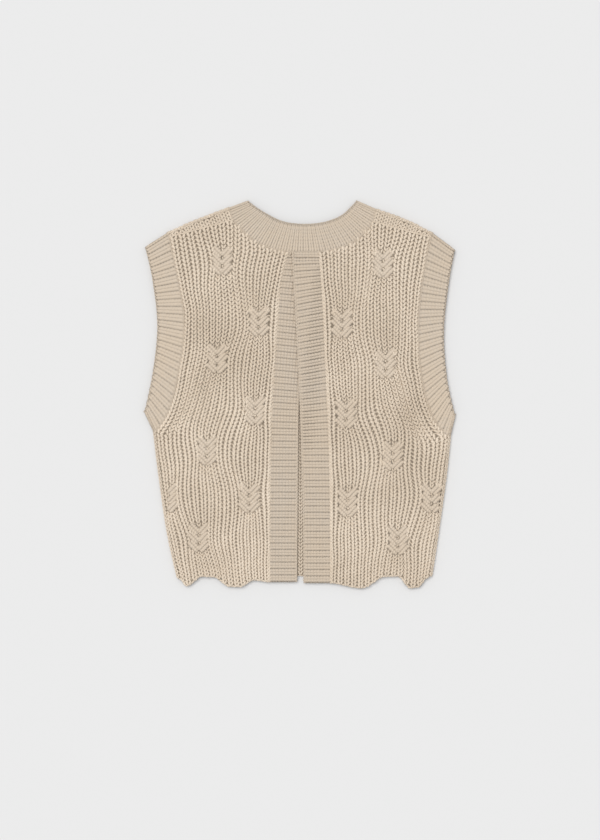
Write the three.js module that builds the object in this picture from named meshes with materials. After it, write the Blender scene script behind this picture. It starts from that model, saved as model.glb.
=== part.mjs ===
// A chunky knitted sweater vest, laid flat on its front so that the open back shows.
// The back is two halves in rib with leaf cables. A ribbed strip edges each half down the
// centre, and the right strip laps over the left under the neckband and parts from it
// towards the hem. The front lies underneath in one piece and wraps over each shoulder to a
// seam on the back. The neckband and the armhole bands are closed rings, folded flat.
// Millimetres: +X to the viewer's right, +Y to the neck, +Z up from the table.
import * as THREE from "three";

// Heights of the layers above the table
const TABLE = 0;
const FRONT_WALL = 3.5; // the front, pressed on the table, is 3.5 mm of knit
const BACK_INSIDE = 4.5; // plain inside face of the back layer
const BACK_GROOVE = 6.8; // outside face between two ribs
const BACK_CREST = 8.1; // top of a rib
const CABLE_RISE = 1.2; // how far a leaf cable stands over the ribs
const FOLD_RADIUS = 4; // outside radius where the cloth turns over at a side or shoulder
const FOLD_HEIGHT = 4; // height of that fold's centre
const SEAM_GAP = 0.25; // each edge stands back this far from its seam line
const BAND = { groove: 7.0, crest: 8.0, nose: 0.8 }; // ribbing of the neck and armhole bands
const STRIP = { groove: 2.1, crest: 2.8, nose: 0.6 }; // thickness of the two centre strips
const STRIP_TOP = 198.2; // height at which the centre strips meet the neckband
const STRIP_GAP = 0.3; // each half stands back this far from its strip
const BACK_GAP = 0.6; // and this far from the curved seams of the bands

// Ribs counted on the garment
const BODY_RIBS = 15; // across each back half
const STRIP_RIBS = 54; // down each centre strip
const ARM_RIBS = 30; // round the back of each armhole
const NECK_RIBS = 34; // round the back of the neck

// Steps along the seams that the hidden front shares with the bands
const FRONT_STEPS = { neck: 20, arm: 16, side: 7, shoulder: 6 };

// The outline, one named corner for each place where an edge changes direction
const at = (x, y) => new THREE.Vector2(x, y);
const OUTLINE = {
  left: {
    neckPoint: at(-72, 271),
    neckSeam: at(-99.8, 260.6),
    shoulderMiddle: at(-143.9, 244.2),
    armSeam: at(-185.2, 225.8),
    shoulderTip: at(-217.1, 205.5),
    underarmTip: at(-219, -24.2),
    underarmSeam: at(-204.8, -54.4),
    sideHigh: at(-197.8, -112),
    sideLow: at(-185.9, -193.6),
    hemCorner: at(-172, -256.6),
  },
  right: {
    neckPoint: at(79.5, 271),
    neckSeam: at(107.5, 258.7),
    shoulderMiddle: at(150.2, 243.3),
    armSeam: at(185.9, 225.3),
    shoulderTip: at(218.2, 201.5),
    underarmTip: at(219, -28.4),
    underarmSeam: at(210.8, -62),
    sideHigh: at(205.4, -114),
    sideLow: at(194.3, -193.6),
    hemCorner: at(185.9, -251),
  },
};

// Armholes, each a free edge and a seam between the shoulder fold and the underarm fold
const ARMHOLE = {
  left: {
    free: [at(-205.5, 159.3), at(-198.7, 96.3), at(-204.2, 35)],
    seam: [at(-172.4, 171), at(-161.7, 107.5), at(-165.4, 50.6), at(-181.5, -20)],
  },
  right: {
    free: [at(208.8, 160), at(201.2, 90), at(205, 24)],
    seam: [at(174, 176), at(165.8, 100), at(168.6, 34), at(183, -27)],
  },
};

// Necklines between the two shoulder folds: the back is shallow and the hidden front deep
const NECK = {
  backFree: [at(-50, 253.6), at(-24, 241), at(4, 237.2), at(32, 239.4), at(58, 249)],
  backSeam: [
    at(-90, 239),
    at(-62, 213.6),
    at(-31, 200.8),
    at(7, 197.8),
    at(41, 200.2),
    at(76, 213),
    at(99.5, 236),
  ],
  frontFree: [at(-60, 238), at(-36, 207), at(4, 193), at(44, 207), at(68, 238)],
  frontSeam: [at(-92, 224), at(-62, 179), at(4, 155), at(70, 179), at(100, 224)],
};

// Centre strips from hem to neckband: the seam to the body, and the free edge at the slit
const STRIPS = {
  left: {
    seam: [
      at(-41.2, -262.2),
      at(-40.3, -120.8),
      at(-37.5, -10),
      at(-30.5, 97.7),
      at(-26.3, 153.7),
      at(-14.4, 198.2),
    ],
    free: [at(-4.4, -262.2), at(-3.4, -150), at(-1.5, -10), at(7.4, 97.7), at(12, 153.7), at(22.8, 198.2)],
  },
  right: {
    seam: [at(42.4, -263.6), at(41.4, -118), at(37.9, -9), at(33, 98), at(30, 152), at(26.3, 198.2)],
    free: [at(6, -263.6), at(4.8, -150), at(0.6, -10), at(-4.6, 98), at(-8, 155), at(-10.2, 198.2)],
  },
};

// Scalloped hems, one row for each turning point of the edge
const HEM = {
  left: [
    { x: -168, y: -256.6 },
    { x: -157, y: -271 },
    { x: -131, y: -254 },
    { x: -89, y: -271 },
    { x: -63, y: -259.5 },
    { x: -41.2, y: -262.2 },
  ],
  right: [
    { x: 42.4, y: -263.6 },
    { x: 87, y: -271 },
    { x: 124, y: -258 },
    { x: 156, y: -271 },
    { x: 182, y: -251 },
  ],
  front: [
    { x: -168, y: -256.6 },
    { x: -140, y: -263 },
    { x: -105, y: -252 },
    { x: -70, y: -263 },
    { x: -35, y: -253 },
    { x: 0, y: -253.6 },
    { x: 35, y: -263 },
    { x: 70, y: -253 },
    { x: 105, y: -263 },
    { x: 140, y: -253 },
    { x: 182, y: -251 },
  ],
};

// Leaf cables, one row each: where the middle of the cable lies
const CABLES = [
  { side: "left", x: -108.2, y: 184.5 },
  { side: "left", x: -57.1, y: 99.1 },
  { side: "left", x: -115.2, y: 47.3 },
  { side: "left", x: -62, y: -25.6 },
  { side: "left", x: -129.2, y: -80.9 },
  { side: "left", x: -183.8, y: -147.4 },
  { side: "left", x: -70.4, y: -147.4 },
  { side: "left", x: -140.4, y: -202.7 },
  { side: "right", x: 116.6, y: 180.3 },
  { side: "right", x: 59.2, y: 96.3 },
  { side: "right", x: 120.1, y: 39.6 },
  { side: "right", x: 64.8, y: -29.8 },
  { side: "right", x: 129.9, y: -88.6 },
  { side: "right", x: 184.5, y: -147.4 },
  { side: "right", x: 67.1, y: -153.5 },
  { side: "right", x: 137.6, y: -206.2 },
];
const CABLE = { halfWidth: 14, halfHeight: 24, pull: 6.3, reach: 20, drawn: 31 };

// Where the front's edge lies on the back of each shoulder, measured from the fold's centre
const SHOULDER_SEAM = { atArm: 3.5, atNeck: 15 };

const DEGREE = Math.PI / 180;
const mix = THREE.MathUtils.lerp;
const ease = THREE.MathUtils.smoothstep;
const up = (p, z) => new THREE.Vector3(p.x, p.y, z);

// The unit vector at right angles to a fold or seam, on the side where towards lies
function sideways(along, towards) {
  const normal = at(-along.y, along.x).normalize();
  return normal.dot(towards) < 0 ? normal.negate() : normal;
}

// A place on a fold: its outermost point, and the way the fold bulges there
const foldPlace = (point, out) => ({
  point,
  out,
  centre: point.clone().addScaledVector(out, -FOLD_RADIUS),
});

// A point on the fold's arc: turn is 90 on the upper layer, 0 outermost and -90 on the table
function onFold(place, radius, turn) {
  const flat = place.centre.clone().addScaledVector(place.out, radius * Math.cos(turn * DEGREE));
  return up(flat, FOLD_HEIGHT + radius * Math.sin(turn * DEGREE));
}

// The folds of one side: two corners of each band, and the cloth between them
function foldsOf(outline) {
  const middle = at(0, 0);
  const between = (a, b) => {
    const along = b.clone().sub(a);
    return sideways(along, a.clone().add(b).sub(middle));
  };
  const shoulderOut = between(outline.neckSeam, outline.armSeam);
  const tipOut = between(outline.armSeam, outline.shoulderTip);
  const underOut = between(outline.underarmTip, outline.underarmSeam);
  const sideOut = between(outline.underarmSeam, outline.sideHigh);
  const sum = (a, b) => a.clone().add(b).normalize();
  return {
    neckPoint: foldPlace(outline.neckPoint, between(outline.neckPoint, outline.neckSeam)),
    neckSeam: foldPlace(outline.neckSeam, shoulderOut),
    armSeam: foldPlace(outline.armSeam, sum(shoulderOut, tipOut)),
    shoulderTip: foldPlace(outline.shoulderTip, tipOut),
    underarmTip: foldPlace(outline.underarmTip, underOut),
    underarmSeam: foldPlace(outline.underarmSeam, sum(underOut, sideOut)),
  };
}

const FOLDS = { left: foldsOf(OUTLINE.left), right: foldsOf(OUTLINE.right) };

// A place part of the way down the side fold, from the underarm at 0 to the hem at 1
function sideFold(side, share) {
  const o = OUTLINE[side];
  const line = new THREE.SplineCurve([o.underarmSeam, o.sideHigh, o.sideLow, o.hemCorner]);
  const out = sideways(line.getTangentAt(share), line.getPointAt(share));
  const corner = FOLDS[side].underarmSeam.out;
  return foldPlace(line.getPointAt(share), corner.clone().lerp(out, ease(share, 0, 0.1)).normalize());
}

// A place part of the way along the body's shoulder fold, from the neckband at 0
function shoulderFold(side, share) {
  const o = OUTLINE[side];
  const line = new THREE.SplineCurve([o.neckSeam, o.shoulderMiddle, o.armSeam]);
  const out = sideways(line.getTangentAt(share), line.getPointAt(share));
  const { neckSeam, armSeam } = FOLDS[side];
  const start = neckSeam.out.clone().lerp(out, ease(share, 0, 0.2));
  return foldPlace(line.getPointAt(share), start.lerp(armSeam.out, ease(share, 0.8, 1)).normalize());
}

// A seam between two folds, with a step to either side of it that turns square to the fold
class Seam {
  constructor(from, inner, to, towards) {
    this.curve = new THREE.SplineCurve([from.centre, ...inner, to.centre]);
    this.towards = towards; // a point on the band's side of the seam
    this.ends = [from, to];
  }
  // distance is positive towards the band
  point(share, distance) {
    const p = this.curve.getPointAt(share);
    const ahead = this.towards.clone().sub(p);
    const step = sideways(this.curve.getTangentAt(share), ahead);
    const square = this.ends.map((end) => sideways(end.out, ahead));
    step.lerp(square[0], 1 - ease(share, 0, 0.04)).lerp(square[1], ease(share, 0.96, 1));
    return p.addScaledVector(step.normalize(), distance);
  }
}

const armCentre = { left: at(-320, 90), right: at(320, 90) };
const SEAMS = {
  left: new Seam(FOLDS.left.armSeam, ARMHOLE.left.seam, FOLDS.left.underarmSeam, armCentre.left),
  right: new Seam(FOLDS.right.armSeam, ARMHOLE.right.seam, FOLDS.right.underarmSeam, armCentre.right),
  neckBack: new Seam(FOLDS.left.neckSeam, NECK.backSeam, FOLDS.right.neckSeam, at(4, 330)),
  neckFront: new Seam(FOLDS.left.neckSeam, NECK.frontSeam, FOLDS.right.neckSeam, at(4, 330)),
};

// The share of a curve at which one coordinate reaches a value, by halving
function shareAt(pointOf, axis, value, low = 0, high = 1) {
  const rising = pointOf(high)[axis] > pointOf(low)[axis];
  for (let i = 0; i < 40; i++) {
    const middle = (low + high) / 2;
    if (pointOf(middle)[axis] < value === rising) low = middle;
    else high = middle;
  }
  return (low + high) / 2;
}

// Makes one closed geometry from points and faces, turned outwards
function geometryOf(points, faces) {
  const p = points;
  const volume = faces.reduce((sum, [a, b, c]) => sum + p[a].dot(p[b].clone().cross(p[c])), 0);
  const turned = volume < 0 ? faces.map(([a, b, c]) => [a, c, b]) : faces;
  const geometry = new THREE.BufferGeometry().setFromPoints(points);
  geometry.setIndex(turned.flat());
  geometry.computeVertexNormals();
  return geometry;
}

// Joins a fine border to a coarse one with a strip of triangles
function zip(outer, inner, points, faces) {
  const shares = (border) => {
    const lengths = border.map((v, i) => (i ? points[v].distanceTo(points[border[i - 1]]) : 0));
    const total = lengths.reduce((a, b) => a + b);
    let run = 0;
    return lengths.map((l) => (run += l) / total);
  };
  const [so, si] = [shares(outer), shares(inner)];
  let [o, i] = [0, 0];
  while (o < outer.length - 1 || i < inner.length - 1) {
    if (i === inner.length - 1 || (o < outer.length - 1 && so[o + 1] <= si[i + 1])) {
      faces.push([outer[o + 1], outer[o], inner[i]]);
      o++;
    } else {
      faces.push([inner[i], inner[i + 1], outer[o]]);
      i++;
    }
  }
}

// A wall of cloth between a relief grid and a plain grid, both given as rows of points
function wall(relief, plain) {
  const points = [];
  const faces = [];
  const lay = (grid, flip) => {
    const first = points.length;
    const columns = grid[0].length;
    grid.forEach((row) => points.push(...row));
    const v = (r, c) => first + r * columns + c;
    for (let r = 0; r < grid.length - 1; r++) {
      for (let c = 0; c < columns - 1; c++) {
        const [a, b, d, e] = [v(r, c), v(r, c + 1), v(r + 1, c + 1), v(r + 1, c)];
        faces.push(flip ? [a, d, b] : [a, b, d], flip ? [a, e, d] : [a, d, e]);
      }
    }
    const rows = grid.map((_, r) => r);
    const across = grid[0].map((_, c) => c);
    const last = { r: grid.length - 1, c: columns - 1 };
    return [
      across.map((c) => v(0, c)),
      rows.map((r) => v(r, last.c)),
      across.map((c) => v(last.r, last.c - c)),
      rows.map((r) => v(last.r - r, 0)),
    ];
  };
  const outer = lay(relief, false);
  const inner = lay(plain, true);
  outer.forEach((border, k) => zip(border, inner[k], points, faces));
  return geometryOf(points, faces);
}

// A shell over patches of nodes, each node an outer and an inner point, with its rim closed
function shell(patches) {
  const nodes = [...new Set(patches.flat(2))];
  const number = new Map(nodes.map((node, i) => [node, i]));
  const points = [...nodes.map((n) => n.outer), ...nodes.map((n) => n.inner)];
  const faces = [];
  const edges = new Map();
  const half = nodes.length;
  for (const patch of patches) {
    for (let r = 0; r < patch.length - 1; r++) {
      for (let c = 0; c < patch[0].length - 1; c++) {
        const cell = [patch[r][c], patch[r][c + 1], patch[r + 1][c + 1], patch[r + 1][c]];
        const [a, b, d, e] = cell.map((node) => number.get(node));
        faces.push([a, b, d], [a, d, e], [a + half, d + half, b + half], [a + half, e + half, d + half]);
        [[a, b], [b, d], [d, e], [e, a]].forEach(([p, q]) => edges.set(`${p} ${q}`, [p, q]));
      }
    }
  }
  for (const [p, q] of edges.values()) {
    if (edges.has(`${q} ${p}`)) continue;
    faces.push([q, p, p + half], [q, p + half, q + half]);
  }
  return geometryOf(points, faces);
}

// A closed ring of sections, each a loop of points
function ring(sections) {
  const size = sections[0].length;
  const faces = [];
  sections.forEach((_, s) => {
    const next = (s + 1) % sections.length;
    for (let i = 0; i < size; i++) {
      const j = (i + 1) % size;
      const [a, b, c, d] = [s * size + i, s * size + j, next * size + j, next * size + i];
      faces.push([a, b, c], [a, c, d]);
    }
  });
  return geometryOf(sections.flat(), faces);
}

// A band section between its free edge and its seam, with a rounded nose at the free edge
function bandSection(free, seam, outerHeight, innerHeight) {
  const inset = free.clone().addScaledVector(seam.clone().sub(free).normalize(), BAND.nose);
  const middle = (outerHeight + innerHeight) / 2;
  return [
    up(inset, outerHeight),
    up(free, middle),
    up(inset, innerHeight),
    up(seam, innerHeight),
    up(seam, outerHeight),
  ];
}

// The band sections that turn over at a fold, between the upper layer and the table
function foldedSections(freePlace, seamPlace, seamStep, turns) {
  const along = seamPlace.centre.clone().sub(freePlace.centre).normalize();
  const shifted = (place, by) => ({ ...place, centre: place.centre.clone().add(by) });
  const inset = shifted(freePlace, along.clone().multiplyScalar(BAND.nose));
  const seam = shifted(seamPlace, seamStep);
  const inside = FOLD_RADIUS - FRONT_WALL;
  return turns.map((turn) => [
    onFold(inset, FOLD_RADIUS, turn),
    onFold(freePlace, (FOLD_RADIUS + inside) / 2, turn),
    onFold(inset, inside, turn),
    onFold(seam, inside, turn),
    onFold(seam, FOLD_RADIUS, turn),
  ]);
}

// A ribbed band as a closed ring, folded flat at two places
function bandRing({ from, to, backFree, backSeam, frontFree, frontSeam, ribs, frontSteps }) {
  const count = ribs * 2;
  const line = (inner) => new THREE.SplineCurve([from.free.centre, ...inner, to.free.centre]);
  const [freeBack, freeFront] = [line(backFree), line(frontFree)];
  const sections = [];
  for (let i = 0; i <= count; i++) {
    const height = i % 2 === 0 ? BAND.crest : BAND.groove;
    const [free, seam] = [freeBack.getPointAt(i / count), backSeam.point(i / count, SEAM_GAP)];
    sections.push(bandSection(free, seam, height, BACK_INSIDE));
  }
  const turns = [60, 30, 0, -30, -60];
  const step = (seam, share) => seam.point(share, SEAM_GAP).sub(seam.point(share, 0));
  sections.push(...foldedSections(to.free, to.seam, step(backSeam, 1), turns));
  for (let i = frontSteps; i >= 0; i--) {
    const share = i / frontSteps;
    const [free, seam] = [freeFront.getPointAt(share), frontSeam.point(share, SEAM_GAP)];
    sections.push(bandSection(free, seam, TABLE, FRONT_WALL));
  }
  sections.push(...foldedSections(from.free, from.seam, step(backSeam, 0), [...turns].reverse()));
  return ring(sections);
}

// The height of a scalloped hem at x, rising and falling smoothly between its turning points
function hemHeight(rows, x) {
  const next = rows.findIndex((row) => row.x >= x);
  if (next <= 0) return next === 0 ? rows[0].y : rows[rows.length - 1].y;
  const [a, b] = [rows[next - 1], rows[next]];
  return mix(a.y, b.y, ease(x, a.x, b.x));
}

// How far the ribs at a point are drawn towards the leaf cables near it
function drawn(side, x, y) {
  return CABLES.filter((c) => c.side === side).reduce((sum, c) => {
    const [dx, dy] = [(x - c.x) / CABLE.reach, (y - c.y) / CABLE.drawn];
    return sum - CABLE.pull * dx * Math.exp(0.5 - 0.5 * dx * dx) * Math.exp(-dy * dy);
  }, 0);
}

// How far a leaf cable raises the cloth: two arms that open upwards, with a groove between
function cableRise(side, x, y) {
  return CABLES.filter((c) => c.side === side).reduce((most, c) => {
    const [dx, dy] = [Math.abs(x - c.x) / CABLE.halfWidth, (y - c.y) / CABLE.halfHeight];
    const open = 0.15 + 0.3 * (dy + 1);
    const arm = Math.max(0, 1 - Math.abs(dx - open) / 0.45);
    return Math.max(most, Math.abs(dy) < 1 ? CABLE_RISE * arm : 0);
  }, 0);
}

const stripCurve = (side, edge) => new THREE.SplineCurve(STRIPS[side][edge]);
const LEFT_FREE = stripCurve("left", "free");

// How far the right half is lifted where its strip lies over the left one
function lap(x, y) {
  const edge = LEFT_FREE.getPoint(shareAt((t) => LEFT_FREE.getPoint(t), "y", Math.min(y, 198))).x;
  const overStrip = STRIP.crest + 0.5;
  const nearNeck = mix(1, 0.5, ease(y, 180, 193));
  return overStrip * nearNeck * (1 - ease(x, edge + 1.2, edge + 24)) * ease(y, -80, -16);
}

// The edge of a back half from the hem up the side fold, then up the armhole seam
function outerEdge(side, sideRows, armRows) {
  const seam = SEAMS[side];
  const length = seam.curve.getLength();
  const rows = [];
  for (let i = 0; i <= sideRows; i++) rows.push({ fold: sideFold(side, 1 - i / sideRows) });
  const cornerStep = 0.25 / length; // the wall turns square to the seam this far past the fold
  const top = (SHOULDER_SEAM.atArm + BACK_GAP) / length;
  for (let i = 0; i <= armRows; i++) rows.push({ share: mix(1 - cornerStep, top, i / armRows) });
  return rows;
}

// The two ends of the shoulder seam on the back, at a distance from its two bands. At part
// 1 they are the seam's own, and at part 0 they are on the fold
function shoulderSeamEnds(side, part, distance) {
  const [neck, arm] = [SEAMS.neckBack, SEAMS[side]];
  const reach = (part * SHOULDER_SEAM.atNeck) / neck.curve.getLength();
  return {
    neck: neck.point(side === "left" ? reach : 1 - reach, distance),
    arm: arm.point((part * SHOULDER_SEAM.atArm) / arm.curve.getLength(), distance),
  };
}

// The top edge of a back half at x: the shoulder seam, then the neckband seam
function topHeight(side, x, distance) {
  const ends = shoulderSeamEnds(side, 1, 0);
  const past = side === "left" ? x > ends.neck.x : x < ends.neck.x;
  if (past) {
    const [low, high] = side === "left" ? [0, 0.5] : [0.5, 1];
    const place = (t) => SEAMS.neckBack.point(t, distance);
    return place(shareAt(place, "x", x, low, high)).y;
  }
  const share = (x - ends.arm.x) / (ends.neck.x - ends.arm.x);
  return mix(ends.arm.y, ends.neck.y, share) + distance;
}

// How far across a back half a column lies, with one column drawn to the end of the
// shoulder seam so that its corner is kept
function columnShare(side, column, columns) {
  const ends = shoulderSeamEnds(side, 1, -BACK_GAP);
  const corner = (ends.neck.x - ends.arm.x) / (innerEdge(side, STRIP_TOP) - ends.arm.x);
  const nearest = Math.round(corner * columns);
  return column <= nearest
    ? (corner * column) / nearest
    : mix(corner, 1, (column - nearest) / (columns - nearest));
}

// Where a back half meets its centre strip, at a given height
function innerEdge(side, y) {
  const curve = stripCurve(side, "seam");
  const away = side === "left" ? -STRIP_GAP : STRIP_GAP;
  return curve.getPoint(shareAt((t) => curve.getPoint(t), "y", Math.min(y, STRIP_TOP))).x + away;
}

// A point of a back half: a runs from the outer edge to the centre strip, row from hem to top
function backPoint(side, { edge, low, high }, a) {
  const level = (edge.y - low.y) / (high.y - low.y);
  const bottomX = mix(low.x, innerEdge(side, -260), a);
  const topX = mix(high.x, innerEdge(side, STRIP_TOP), a);
  const bottom = mix(low.y, hemHeight(HEM[side], bottomX), Math.min(1, a * 8));
  const top = mix(high.y, topHeight(side, topX, -BACK_GAP), Math.min(1, a * 8));
  const y = mix(bottom, top, level);
  const x = mix(edge.x, innerEdge(side, y), a);
  const fade = ease(a, 0, 0.12) * ease(1 - a, 0, 0.1) * ease(level, 0, 0.03) * ease(1 - level, 0, 0.06);
  return at(x + drawn(side, x, y) * fade, y);
}

// One half of the back, ribbed outside and plain inside, rolled down to the front at its side
function backHalf(side) {
  const lift = (p) => (side === "right" ? lap(p.x, p.y) : 0);
  const build = (sideRows, armRows, columns, relief) => {
    const edgeRows = outerEdge(side, sideRows, armRows);
    const flat = (row) => (row.fold ? row.fold.centre : SEAMS[side].point(row.share, -BACK_GAP));
    const [low, high] = [flat(edgeRows[0]), flat(edgeRows[edgeRows.length - 1])];
    const [radius, turns] = relief ? [FOLD_RADIUS, [3, 32, 61]] : [FOLD_RADIUS - FRONT_WALL, [20]];
    return edgeRows.map((row) => {
      const frame = { edge: flat(row), low, high };
      const points = turns.map((turn) => {
        if (row.fold) return onFold(row.fold, radius, turn);
        if (!relief) return up(backPoint(side, frame, 0.004), BACK_INSIDE);
        return up(frame.edge, mix(BACK_INSIDE + 0.6, BACK_GROOVE - 0.3, turn / 61));
      });
      for (let c = 0; c <= columns; c++) {
        const a = relief ? columnShare(side, c, columns) : mix(0.01, 1, c / columns);
        const p = backPoint(side, frame, a);
        const rib = c % 2 ? BACK_CREST : BACK_GROOVE;
        const height = relief ? rib + cableRise(side, p.x, p.y) * ease(a, 0, 0.1) : BACK_INSIDE;
        points.push(up(p, height + lift(p)));
      }
      return points;
    });
  };
  return wall(build(13, 28, BODY_RIBS * 2, true), build(7, 14, 12, false));
}

// One ribbed centre strip: rows climb from the hem to the neckband, and the ribs lie across
function centreStrip(side) {
  const [seam, free] = [stripCurve(side, "seam"), stripCurve(side, "free")];
  const inward = side === "left" ? 1 : -1;
  const lift = (p) => (side === "right" ? lap(p.x, p.y) : 0);
  const squash = (y) => mix(1, 0.5, ease(y, 180, 193));
  const grid = (rows, shares, heightOf) =>
    Array.from({ length: rows + 1 }, (_, r) => {
      const [s, f] = [seam.getPointAt(r / rows), free.getPointAt(r / rows)];
      s.x += inward * STRIP_GAP;
      return shares.map((share) => {
        const p = s.clone().lerp(f, share);
        const top = r === rows ? topHeight(p.x < 4 ? "left" : "right", p.x, -SEAM_GAP) : p.y;
        p.y = Math.min(p.y, top);
        return up(p, heightOf(r, share, p));
      });
    });
  const edge = STRIP.nose / 36;
  const relief = grid(STRIP_RIBS * 2, [0, 0.25, 0.5, 0.75, 1 - edge, 1], (r, share, p) => {
    const full = r % 2 === 0 ? STRIP.groove : STRIP.crest;
    const thick = share === 1 ? full * 0.5 : full;
    return BACK_INSIDE + lift(p) + thick * squash(p.y);
  });
  const plain = grid(26, [0, 0.25, 0.5, 0.75, 1 - edge], (_, __, p) => BACK_INSIDE + lift(p));
  return wall(relief, plain);
}

// The columns of the front along its top: a shoulder, the neckline, the other shoulder
function topColumns(shoulderColumns, neckColumns) {
  const shoulder = Array.from({ length: shoulderColumns + 1 }, (_, i) => i / shoulderColumns);
  const neck = Array.from({ length: neckColumns - 1 }, (_, i) => (i + 1) / neckColumns);
  return [
    ...[...shoulder].reverse().map((share) => ({ side: "left", share })),
    ...neck.map((share) => ({ neck: share })),
    ...shoulder.map((share) => ({ side: "right", share })),
  ];
}

// The fold of a shoulder column, stepped clear of the bands at the shoulder's two ends
function clearFold({ side, share }) {
  const fold = shoulderFold(side, share);
  const end = side === "left" ? 0 : 1;
  const stepBack = (seam, t) => seam.point(t, -SEAM_GAP).sub(seam.point(t, 0));
  const nearArm = stepBack(SEAMS[side], 0).multiplyScalar(ease(share, 0.8, 1));
  const nearNeck = stepBack(SEAMS.neckBack, end).multiplyScalar(1 - ease(share, 0, 0.2));
  return { ...fold, centre: fold.centre.clone().add(nearArm).add(nearNeck) };
}

// The part of the front that lies on the table, row by row from the hem to the neckline
function frontOnTable(sideRows, armRows, tops) {
  const flatNode = (p) => ({ outer: up(p, TABLE), inner: up(p, FRONT_WALL) });
  const cornerShare = (side) => 1 - 0.25 / SEAMS[side].curve.getLength();
  const sideEdge = (side, i) => sideFold(side, 1 - i / sideRows).centre;
  const armEdge = (side, i) => SEAMS[side].point(mix(cornerShare(side), 0, i / armRows), -SEAM_GAP);
  const edge = (side, r) => (r <= sideRows ? sideEdge(side, r) : armEdge(side, r - sideRows - 1));
  const rowCount = sideRows + armRows + 2;
  const topPoint = (t) => (t.side ? clearFold(t).centre : SEAMS.neckFront.point(t.neck, -SEAM_GAP));
  const low = { left: edge("left", 0), right: edge("right", 0) };
  const high = { left: edge("left", rowCount - 1), right: edge("right", rowCount - 1) };
  return Array.from({ length: rowCount }, (_, r) => {
    const [l, g] = [edge("left", r), edge("right", r)];
    return tops.map((t, c) => {
      const share = c / (tops.length - 1);
      if (r === rowCount - 1) return flatNode(topPoint(t));
      if (c === 0) return flatNode(l);
      if (c === tops.length - 1) return flatNode(g);
      const top = topPoint(t);
      const x = mix(low.left.x, low.right.x, share);
      const floor = mix(low.left.y, low.right.y, share);
      const climb = (mix(l.y, g.y, share) - floor) / (mix(high.left.y, high.right.y, share) - floor);
      const across = mix(mix(l.x, g.x, share), mix(x, top.x, climb), ease(climb, 0.5, 1));
      return flatNode(at(across, mix(hemHeight(HEM.front, x), top.y, climb)));
    });
  });
}

// The front, one piece: it rolls up to the back at the sides and wraps over each shoulder to
// the seam that lies on the back
function frontPanel() {
  const { side: sideRows, arm: armRows } = FRONT_STEPS;
  const inside = FOLD_RADIUS - FRONT_WALL;
  const node = (place, turn, innerTurn = turn) => ({
    outer: onFold(place, FOLD_RADIUS, turn),
    inner: onFold(place, inside, innerTurn),
  });
  const tops = topColumns(FRONT_STEPS.shoulder, FRONT_STEPS.neck);
  const table = frontOnTable(sideRows, armRows, tops);
  const rollUp = (side) => {
    const column = side === "left" ? 0 : tops.length - 1;
    return table.slice(0, sideRows + 1).map((row, r) => {
      const place = sideFold(side, 1 - r / sideRows);
      const rolled = [-3, -32, -61].map((turn) => node(place, turn, Math.min(turn, -20)));
      return side === "left" ? [...rolled, row[column]] : [row[column], ...rolled.reverse()];
    });
  };
  const onBack = (t, part) => {
    const ends = shoulderSeamEnds(t.side, part, -SEAM_GAP);
    const start = shoulderSeamEnds(t.side, 0, -SEAM_GAP);
    const bulge = clearFold(t).centre.sub(start.neck.lerp(start.arm, t.share));
    const p = ends.neck.lerp(ends.arm, t.share).addScaledVector(bulge, 1 - part);
    return { outer: up(p, FOLD_HEIGHT + FOLD_RADIUS), inner: up(p, BACK_INSIDE) };
  };
  const wrapOver = (side) => {
    const columns = tops.map((t, c) => ({ t, c })).filter(({ t }) => t.side === side);
    const last = table[table.length - 1];
    const turns = [-60, -30, 0, 30, 60];
    return [
      columns.map(({ c }) => last[c]),
      ...turns.map((turn) => columns.map(({ t }) => node(clearFold(t), turn))),
      ...[0, 0.33, 0.67, 1].map((part) => columns.map(({ t }) => onBack(t, part))),
    ];
  };
  const sides = ["left", "right"];
  return shell([table, ...sides.map(rollUp), ...sides.map(wrapOver)]);
}

const yarn = (color, roughness) => new THREE.MeshStandardMaterial({ color, roughness, metalness: 0 });
const RIB_KNIT = yarn(0xc9b8a2, 0.92);
const BAND_KNIT = yarn(0xc7b8a4, 0.94);

const vest = new THREE.Group();
function sew(name, geometry, material) {
  const mesh = new THREE.Mesh(geometry, material);
  mesh.name = name;
  vest.add(mesh);
}

sew("front", frontPanel(), RIB_KNIT);
sew("back_left", backHalf("left"), RIB_KNIT);
sew("back_right", backHalf("right"), RIB_KNIT);
sew("strip_left", centreStrip("left"), BAND_KNIT);
sew("strip_right", centreStrip("right"), BAND_KNIT);
sew(
  "neckband",
  bandRing({
    from: { free: FOLDS.left.neckPoint, seam: FOLDS.left.neckSeam },
    to: { free: FOLDS.right.neckPoint, seam: FOLDS.right.neckSeam },
    backFree: NECK.backFree,
    backSeam: SEAMS.neckBack,
    frontFree: NECK.frontFree,
    frontSeam: SEAMS.neckFront,
    ribs: NECK_RIBS,
    frontSteps: FRONT_STEPS.neck,
  }),
  BAND_KNIT,
);
for (const side of ["left", "right"]) {
  const band = bandRing({
    from: { free: FOLDS[side].shoulderTip, seam: FOLDS[side].armSeam },
    to: { free: FOLDS[side].underarmTip, seam: FOLDS[side].underarmSeam },
    backFree: ARMHOLE[side].free,
    backSeam: SEAMS[side],
    frontFree: ARMHOLE[side].free,
    frontSeam: SEAMS[side],
    ribs: ARM_RIBS,
    frontSteps: FRONT_STEPS.arm + 1,
  });
  sew(`armband_${side}`, band, BAND_KNIT);
}

// The origin is the middle of the whole garment, on the table
const middle = new THREE.Box3().setFromObject(vest).getCenter(new THREE.Vector3());
vest.position.set(-middle.x, -middle.y, 0);

export default vest;
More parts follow.
